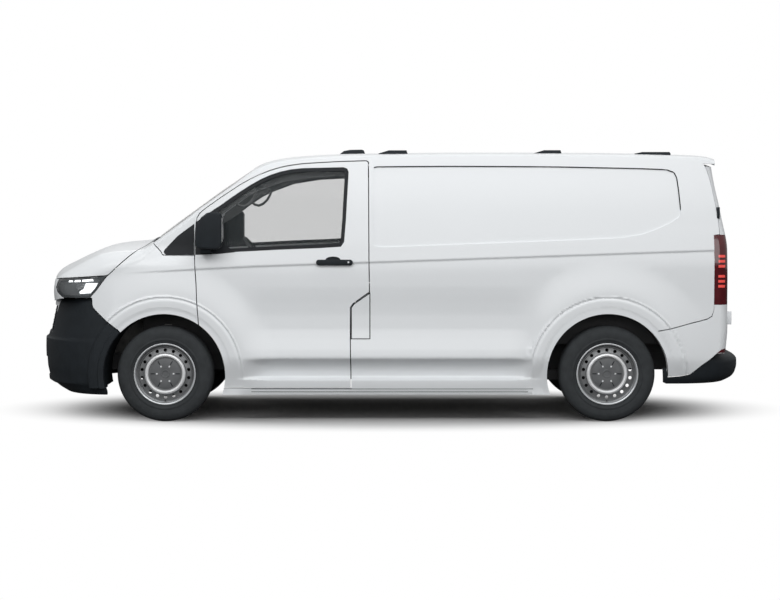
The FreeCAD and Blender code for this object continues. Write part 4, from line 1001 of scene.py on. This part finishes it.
finish_piece(latch, "rear_leaf_right", plastic, "rear_door_right", angle=40.0)

# Fine dark joints along the sills
sill_rows = row_set("side", *[24.8 + 0.05 * k for k in range(0, 25)])
for number, z in enumerate((231.0, 210.0)):
    joint = slab("sill_joint_left_%d" % number, stations_by(N + 8, N + 22, 60.0), sill_rows, sill_rows,
                 -0.4, 3.0)
    within(joint, prism([(-1140, z - 2), (1000, z - 2), (1000, z + 2), (-1140, z + 2)]))
    pair(joint, "body", frame_black)

# Wheels, as (radius, y): tyre, pressed steel rim with its vent holes, crest ring, cap and valve
TYRE = [
    (209, -86), (216, -93), (226, -96), (234, -99), (240, -103.6), (247, -103.8), (252, -101.6),
    (264, -103.2), (286, -103), (300, -100.6), (303, -99), (312, -96.4), (322, -90), (330, -80),
    (334.5, -68), (336, -58), (336, -49), (328.5, -48), (328.5, -42), (336, -41), (336, -19), (328.5, -18),
    (328.5, -12), (336, -11)
]
BARREL = [
    (208.7, -88), (212, -94), (216.5, -97), (216, -99.6), (211, -100), (206, -97), (204, -88), (202, -66),
    (198, -40), (196, 0), (199, 70), (205, 92), (211, 100), (216, 99.5), (216.5, 97), (208.7, 88)
]
DISC = [
    (203, -66), (198, -63), (194, -61), (191, -65), (187.5, -66), (184.5, -62), (182, -55), (152, -57),
    (147, -60), (143, -69), (138, -76), (131, -79), (124, -77.5), (120, -71), (117, -62), (60, -60),
    (60, -53), (112, -53), (124, -63), (132, -68), (140, -58), (150, -49), (182, -48), (196, -54),
    (203, -57)
]
CREST = [
    (143.5, -70), (138, -77.4), (131, -80.4), (123.5, -78.9), (118, -71), (121, -70), (131, -76),
    (140, -70)
]
CAP = [
    (0.3, -66), (18, -66), (20, -69.5), (28, -70.5), (32, -67), (60, -69.5), (98, -67.5), (107, -64.5),
    (110, -60.5), (0.3, -60.5)
]
VALVE = [(0.3, -88), (4, -88), (4.5, -60), (0.3, -60)]


def many_prisms(outlines, y0, y1):
    """Several outlines in the XZ plane carried from y0 to y1, as one mesh."""
    verts = []
    faces = []
    for points in outlines:
        first = len(verts)
        n = len(points)
        verts += [(x, y, z) for y in (y0, y1) for x, z in points]
        for m in range(n):
            after = (m + 1) % n
            faces.append((first + m, first + after, first + n + after, first + n + m))
        faces.append(tuple(range(first, first + n)))
        faces.append(tuple(range(first + 2 * n - 1, first + n - 1, -1)))
    return outward(new_object("cutter", verts, faces))


def vents(count, circle, radius):
    """Round outlines spread over a circle."""
    turns = [2 * math.pi * m / 16 for m in range(16)]
    outlines = []
    for k in range(count):
        t = 2 * math.pi * (k + 0.5) / count
        x = circle * math.cos(t)
        z = circle * math.sin(t)
        outlines.append([(x + radius * math.cos(a), z + radius * math.sin(a)) for a in turns])
    return outlines


def spokes(count, r0, r1, half_spoke):
    """Straight outlines that point to the middle."""
    outlines = []
    for k in range(count):
        c = math.cos(2 * math.pi * k / count)
        s = math.sin(2 * math.pi * k / count)
        outlines.append([(r * c - w * half_spoke * s, r * s + w * half_spoke * c)
                         for r, w in ((r0, -1), (r1, -1), (r1, 1), (r0, 1))])
    return outlines


wheel_pieces = [
    (spin("base", TYRE + [(r, -y) for r, y in reversed(TYRE)], 144), "tyre", rubber, "tyre"),
    (spin("base", BARREL, 96), "rim_barrel", silver, "rim"),
    (cut(spin("base", DISC, 144), many_prisms(vents(18, 166, 12), -90, -30)), "rim_disc", disc_grey, "rim"),
    (spin("base", CREST, 128), "rim_crest", crest_silver, "rim"),
    # Black bars in the cap's six slots: painted shade of the recessed slots
    (many_prisms(spokes(6, 73, 102, 2.8), -70.6, -66), "cap_slots", frame_black, "rim"),
    (cut(spin("base", CAP, 96), many_prisms(spokes(6, 72, 101, 3), -80, -65.6)), "wheel_cap", cap_grey,
     "rim"),
    (many_prisms(spokes(6, 53, 64, 5), -73, -66), "cap_marks", crest_silver, "rim"),
    (spin("base", VALVE, 16, 0.0, -190.0), "valve", plastic, "rim"),
]
for sign, word in ((-1.0, "left"), (1.0, "right")):
    for x, end in ((front_axle_x, "front"), (rear_axle_x, "rear")):
        for base, name, mat, node in wheel_pieces:
            piece = duplicate(base, "%s_%s_%s_piece" % (name, end, word))
            for vert in piece.data.vertices:
                px, py, pz = vert.co
                vert.co = (x / 1000.0 - sign * px, sign * (track_half / 1000.0 - py), wheel_z / 1000.0 + pz)
            finish_piece(piece, "wheel_%s_%s" % (end, word), mat, "%s_%s_%s" % (node, end, word), angle=30.0)
for entry in wheel_pieces:
    bpy.data.objects.remove(entry[0], do_unlink=True)

# Headlamps: clear cover, dark housing, light cells and projector
lamp_ts = stations_by(0.5, N - 3, 22.0)
lamp_rows = NOSE_TOP[8:] + halves(0, 25)
cells = [[(-2254, 978), (-2223, 980), (-2225, 997), (-2252, 995)],
         [(-2211, 980), (-2168, 982), (-2170, 1000), (-2209, 998)],
         [(-2156, 983), (-2075, 987), (-2080, 1008), (-2154, 1003)]]
projector = [(-2196, 968), (-2134, 968), (-2150, 930), (-2196, 930)]
beam = [(-2128, 973), (-2046, 973), (-2062, 942), (-2096, 902), (-2172, 898), (-2176, 912), (-2146, 934)]
lamp_parts = [("headlamp_cover", 1.0, 3.0, [outline(LAMP_OUTLINE, -0.5)], lamp_glass),
              ("headlamp_bezel", 4.5, 44.0, [outline(LAMP_OUTLINE, -0.5)], dark_gloss),
              ("headlamp_housing", 42.0, 20.0, [outline(LAMP_OUTLINE, -1.0)], cap_grey),
              ("headlamp_cells", 6.0, 5.0, cells, glow),
              ("headlamp_projector", 14.0, 6.0, [projector], reflector),
              ("headlamp_beam", 10.0, 6.0, [beam], glow)]
for name, depth, thick, shapes, mat in lamp_parts:
    for number, shape in enumerate(shapes):
        piece = slab("%s_left_%d" % (name, number), lamp_ts, lamp_rows, NOSE_BACK[2:] + FAN_BACK[:3],
                     depth, thick, shaped=depth < 5.0)
        within(piece, prism(shape, far_left, -400))
        if name == "headlamp_bezel":
            cut(piece, prism(outline(LAMP_OUTLINE, -16.0), far_left, -400))
        pair(biggest(piece), "body", mat, "headlamps")

# Tail lamps with their light bars, reflectors and hinge covers
LAMP_BACK = [
    (2258.3, 1309.7), (2262.3, 1135), (2262.3, 924), (2262.3, 822.3), (2500, 822.3), (2500, 1309.7)
]
REFLECTOR = [(2284, 484), (2318, 508), (2345, 514), (2370, 514), (2370, 484)]
lamp_pieces = [("tail_lamp_left", 0.0, 40.0, steps(790, 1330, 30.0), LAMP_BACK, red_glass),
               ("reflector_left", -0.8, 6.0, range(470, 530, 10), REFLECTOR, red_glass)]
for z in (1162, 1127, 1092, 1022, 987, 952):
    bar = [(2290, z - 12), (2339, z - 12), (2339, z + 12), (2290, z + 12)]
    lamp_pieces.append(("tail_lamp_bar_%d_left" % z, -0.8, 4.0, [z - 9, z, z + 9], bar, red_bar))
for name, depth, thick, levels, shape, mat in lamp_pieces:
    piece = wrap(name, levels, list(range(2180, 2240, 20)) + [None], depth, thick, 880.0, False)
    within(piece, prism(shape, far_left, -872))
    pair(biggest(piece), "body", mat, "tail_lamps")
for name, place, mat in (("upper_hinge_left", (2282, 2303, -935, -900, 1424, 1504), plastic),
                         ("lower_hinge_left", (2330, 2396, -901, -866, 681, 772), paint)):
    pair(bevel(named(box(*place), name), 3.0, 2), "body", mat, angle=40.0, slot="paint")

# Steering wheel: its hub in the world and the tilt of its axis
hub = (-965.3, -400.0, 1114.8)
tilt = math.radians(40.0)


def on_wheel(u, v, w):
    """Point of the steering wheel: u up the wheel, v to the right, w along its axis."""
    return (hub[0] + w * math.cos(tilt) - u * math.sin(tilt), hub[1] + v,
            hub[2] + w * math.sin(tilt) + u * math.cos(tilt))


def tube(name, path, radius, sides=16):
    """Round bar along a path of points."""
    verts = []
    faces = []
    n = len(path)
    for k in range(n):
        way = (Vector(path[min(n - 1, k + 1)]) - Vector(path[max(0, k - 1)])).normalized()
        across = way.cross(Vector((0.0, 0.0, 1.0)))
        if across.length < 0.2:
            across = way.cross(Vector((0.0, 1.0, 0.0)))
        across.normalize()
        upward = across.cross(way)
        for m in range(sides):
            a = 2 * math.pi * m / sides
            spoke = across * (radius * math.cos(a)) + upward * (radius * math.sin(a))
            verts.append(tuple(Vector(path[k]) + spoke))
    for k in range(n - 1):
        for m in range(sides):
            a = k * sides + m
            b = k * sides + (m + 1) % sides
            faces.append((a, b, b + sides, a + sides))
    faces.append(tuple(range(sides)))
    faces.append(tuple(range(n * sides - 1, (n - 1) * sides - 1, -1)))
    return outward(new_object(name, verts, faces))


HAND_RING = [
    (196, 30), (193, 24), (185, 22), (174, 24), (169, 31), (170, 41), (178, 47), (188, 46), (194, 39)
]
BOSS = [(0.3, 4), (58, 4), (62, 12), (58, 38), (40, 43), (0.3, 44)]
steering = [spin("steering_ring", HAND_RING, 96), spin("steering_boss", BOSS, 48)]
for piece in steering:
    for vert in piece.data.vertices:
        u, w, v = vert.co * 1000.0
        vert.co = Vector(on_wheel(u, v, w)) / 1000.0
    outward(piece)
for number, (u, v) in enumerate(((0, 1), (0, -1), (-1, 0))):
    ends = [on_wheel(u * 50.0, v * 50.0, 30.0), on_wheel(u * 182.0, v * 182.0, 34.0)]
    steering.append(tube("steering_spoke_%d" % number, ends, 12.0))
for piece in steering:
    finish_piece(piece, "hand_wheel", trim_grey, "steering_wheel", angle=50.0)

# Trim of the roof rail and the windscreen pillar inside the cab, with the grab handles
RAIL_TRIM = [
    (-940, 1612), (-753, 1680), (-551, 1712), (-356, 1722), (-168, 1730), (-168, 1800), (-600, 1785),
    (-773, 1757), (-914, 1707), (-960, 1680)
]
PILLAR_TRIM = [
    (-1330, 1360), (-1200, 1440), (-1100, 1515), (-1010, 1574), (-940, 1612), (-960, 1680), (-1054, 1628),
    (-1195, 1528), (-1300, 1452)
]
GRAB_PATH = [
    (-1094, 1560, -4), (-1086, 1536, 10), (-1066, 1518, 24), (-1034, 1510, 30), (-1000, 1524, 32),
    (-968, 1554, 30), (-946, 1592, 18), (-938, 1625, -4)
]
trim_depth = 55.0
for name, shape, mat in (("roof_rail_trim_left", RAIL_TRIM, trim_grey),
                         ("pillar_trim_left", PILLAR_TRIM, pillar_grey)):
    piece = slab(name, stations_by(N + 3, N + 17, 40.0), row_set("roll", 30, 50, 70) + halves(0, 16),
                 row_set("roll", 50) + row_set("side", 0, 4, 7.5), trim_depth, 10.0, shaped=False)
    within(piece, prism(shape))
    pair(biggest(piece), "body", mat)
path = [(x, out + trim_depth + 9.0 - side(x, z, 0.0, False), z) for x, z, out in GRAB_PATH]
pair(tube("grab_handle_left", path, 10.0, 14), "body", pillar_grey, angle=60.0)


def pad(name, points, y0, y1, soft, swell):
    """Padded seat part from a side outline: rounded, swelled by a cloth run and smoothed."""
    piece = bevel(named(prism(points, y0, y1), name), soft, 3)
    remesh = piece.modifiers.new("grid", "REMESH")
    remesh.mode = "VOXEL"
    remesh.voxel_size = 0.016
    apply_modifiers(piece)
    rest = [vert.co.copy() for vert in piece.data.vertices]
    cloth_run = piece.modifiers.new("swell", "CLOTH")
    cloth_run.settings.use_pressure = True
    cloth_run.settings.uniform_pressure_force = 4.0
    cloth_run.settings.effector_weights.gravity = 0.0
    for step in range(1, 13):
        scene.frame_set(step)
    apply_modifiers(piece)
    scene.frame_set(1)
    for vert, start in zip(piece.data.vertices, rest):
        move = vert.co - start
        if move.length > swell / 1000.0:
            vert.co = start + move * (swell / 1000.0 / move.length)
    finish_piece(piece, "body", cloth, "seats", angle=60.0)


for name, y0, y1 in (("driver", -640, -150), ("bench", -80, 690)):
    pad(name + "_cushion", [(-880, 710), (-370, 712), (-366, 786), (-620, 800), (-850, 812), (-888, 790)],
        y0 + 12, y1 - 12, 30.0, 10.0)
    pad(name + "_back", [(-392, 800), (-306, 775), (-190, 1285), (-205, 1318), (-246, 1318), (-270, 1290)],
        y0 + 22, y1 - 22, 26.0, 10.0)
    pedestal = bevel(named(box(-830, -370, y0 + 50, y1 - 50, 500, 706), name + "_seat_base"), 8.0, 2)
    finish_piece(pedestal, "body", trim_grey, "seats", angle=40.0)
for y in (-395, 110, 500):
    pad("head_rest_%d" % (y + 400), [(-250, 1382), (-190, 1382), (-188, 1520), (-206, 1532), (-242, 1528)],
        y - 112, y + 112, 20.0, 6.0)
    for shift in (-54, 54):
        stalk = tube("head_rest_post_%d_%d" % (y + 400, shift + 60),
                     [(-222, y + shift, 1290), (-219, y + shift, 1400)], 6.0, 12)
        finish_piece(stalk, "body", silver, "seats", angle=50.0)


# Stage: pale floor, white backdrop, soft lights, and the camera at the photograph's view

def stage_material(name, shade, bounce):
    """Floor that shows the van's soft shadow near it and is white to the camera farther off.

    Its grey is shade to the camera and bounce to every other ray.
    """
    mat = bpy.data.materials.new(name)
    mat.use_nodes = True
    tree = mat.node_tree
    base = tree.nodes["Principled BSDF"]
    seen = add_node(tree, "LightPath", {}).outputs["Is Camera Ray"]
    tone = add_node(tree, "Mix", {"A": (bounce, bounce, bounce, 1.0), "B": (shade, shade, shade, 1.0),
                                  "Factor": seen}, data_type="RGBA")
    fill(tree, base, {"Roughness": 0.9, "Specular IOR Level": 0.0, "Base Color": tone.outputs["Result"]})
    place = add_node(tree, "TexCoord", {}).outputs["Object"]
    oval = add_node(tree, "VectorMath", {0: place, 1: (0.33, 0.60, 0.0)}, operation="MULTIPLY")
    away = add_node(tree, "VectorMath", {0: oval.outputs["Vector"]}, operation="LENGTH")
    spread = add_node(tree, "MapRange", {"From Min": 0.62, "From Max": 1.0, "Value": away.outputs["Value"]},
                      interpolation_type="SMOOTHSTEP")
    both = add_node(tree, "Math", {0: spread.outputs["Result"], 1: seen}, operation="MULTIPLY")
    white = add_node(tree, "Emission", {})
    mix = add_node(tree, "MixShader", {"Fac": both.outputs["Value"], 1: base.outputs["BSDF"],
                                       2: white.outputs["Emission"]})
    fill(tree, tree.nodes["Material Output"], {"Surface": mix.outputs["Shader"]})
    return mat


floor_size = 60.0
bpy.ops.mesh.primitive_plane_add(size=floor_size, location=(0.0, 0.0, -0.001))
ground = named(bpy.context.object, "floor_plane")
ground.data.materials.append(stage_material("floor_white", 0.62, 0.10))

# World: white to the camera, and a light that grows toward the sky
world = bpy.data.worlds.new("studio")
scene.world = world
world.use_nodes = True
sky = world.node_tree
upward = add_node(sky, "SeparateXYZ", {"Vector": add_node(sky, "TexCoord", {}).outputs["Generated"]})
height = add_node(sky, "MapRange", {"From Min": -0.05, "From Max": 0.60, "To Min": 0.34, "To Max": 0.58,
                                    "Value": upward.outputs["Z"]}, interpolation_type="SMOOTHSTEP")
level = add_node(sky, "Mix", {"Factor": add_node(sky, "LightPath", {}).outputs["Is Camera Ray"],
                              "A": height.outputs["Result"], "B": 1.0})
fill(sky, sky.nodes["Background"], {"Color": (1.0, 1.0, 1.0, 1.0), "Strength": level.outputs["Result"]})


def area_light(name, place, target, width, height, power):
    data = bpy.data.lights.new(name, "AREA")
    data.shape = "RECTANGLE"
    data.size = width
    data.size_y = height
    data.energy = power
    obj = bpy.data.objects.new(name, data)
    scene.collection.objects.link(obj)
    obj.location = place
    obj.rotation_euler = (Vector(target) - Vector(place)).to_track_quat("-Z", "Y").to_euler()


area_light("overhead", (0.0, 0.0, 6.5), (0.0, 0.0, 0.0), 10.0, 5.0, 60.0)
area_light("left_key", (-0.5, -7.5, 6.0), (0.0, 0.0, 0.9), 12.0, 3.0, 380.0)
area_light("left_fill", (0.0, -11.0, 2.6), (0.0, 0.0, 1.2), 12.0, 3.0, 190.0)
area_light("right_key", (0.5, 7.5, 6.0), (0.0, 0.0, 0.9), 12.0, 3.0, 150.0)

# Camera fitted to the photograph: a long lens square to the left side, just above the bonnet line
image_width = 780.0
focal_pixels = 2005.936
camera_pitch = math.radians(2.85786)
camera_data = bpy.data.cameras.new("camera")
camera_data.sensor_width = 36.0
camera_data.lens = 36.0 * focal_pixels / image_width
camera = bpy.data.objects.new("camera", camera_data)
scene.collection.objects.link(camera)
camera.location = (-0.0025, -14.965, 1.555)
camera.rotation_euler = (math.pi / 2 - camera_pitch, 0.0, 0.0)
scene.camera = camera
scene.view_settings.view_transform = "Standard"
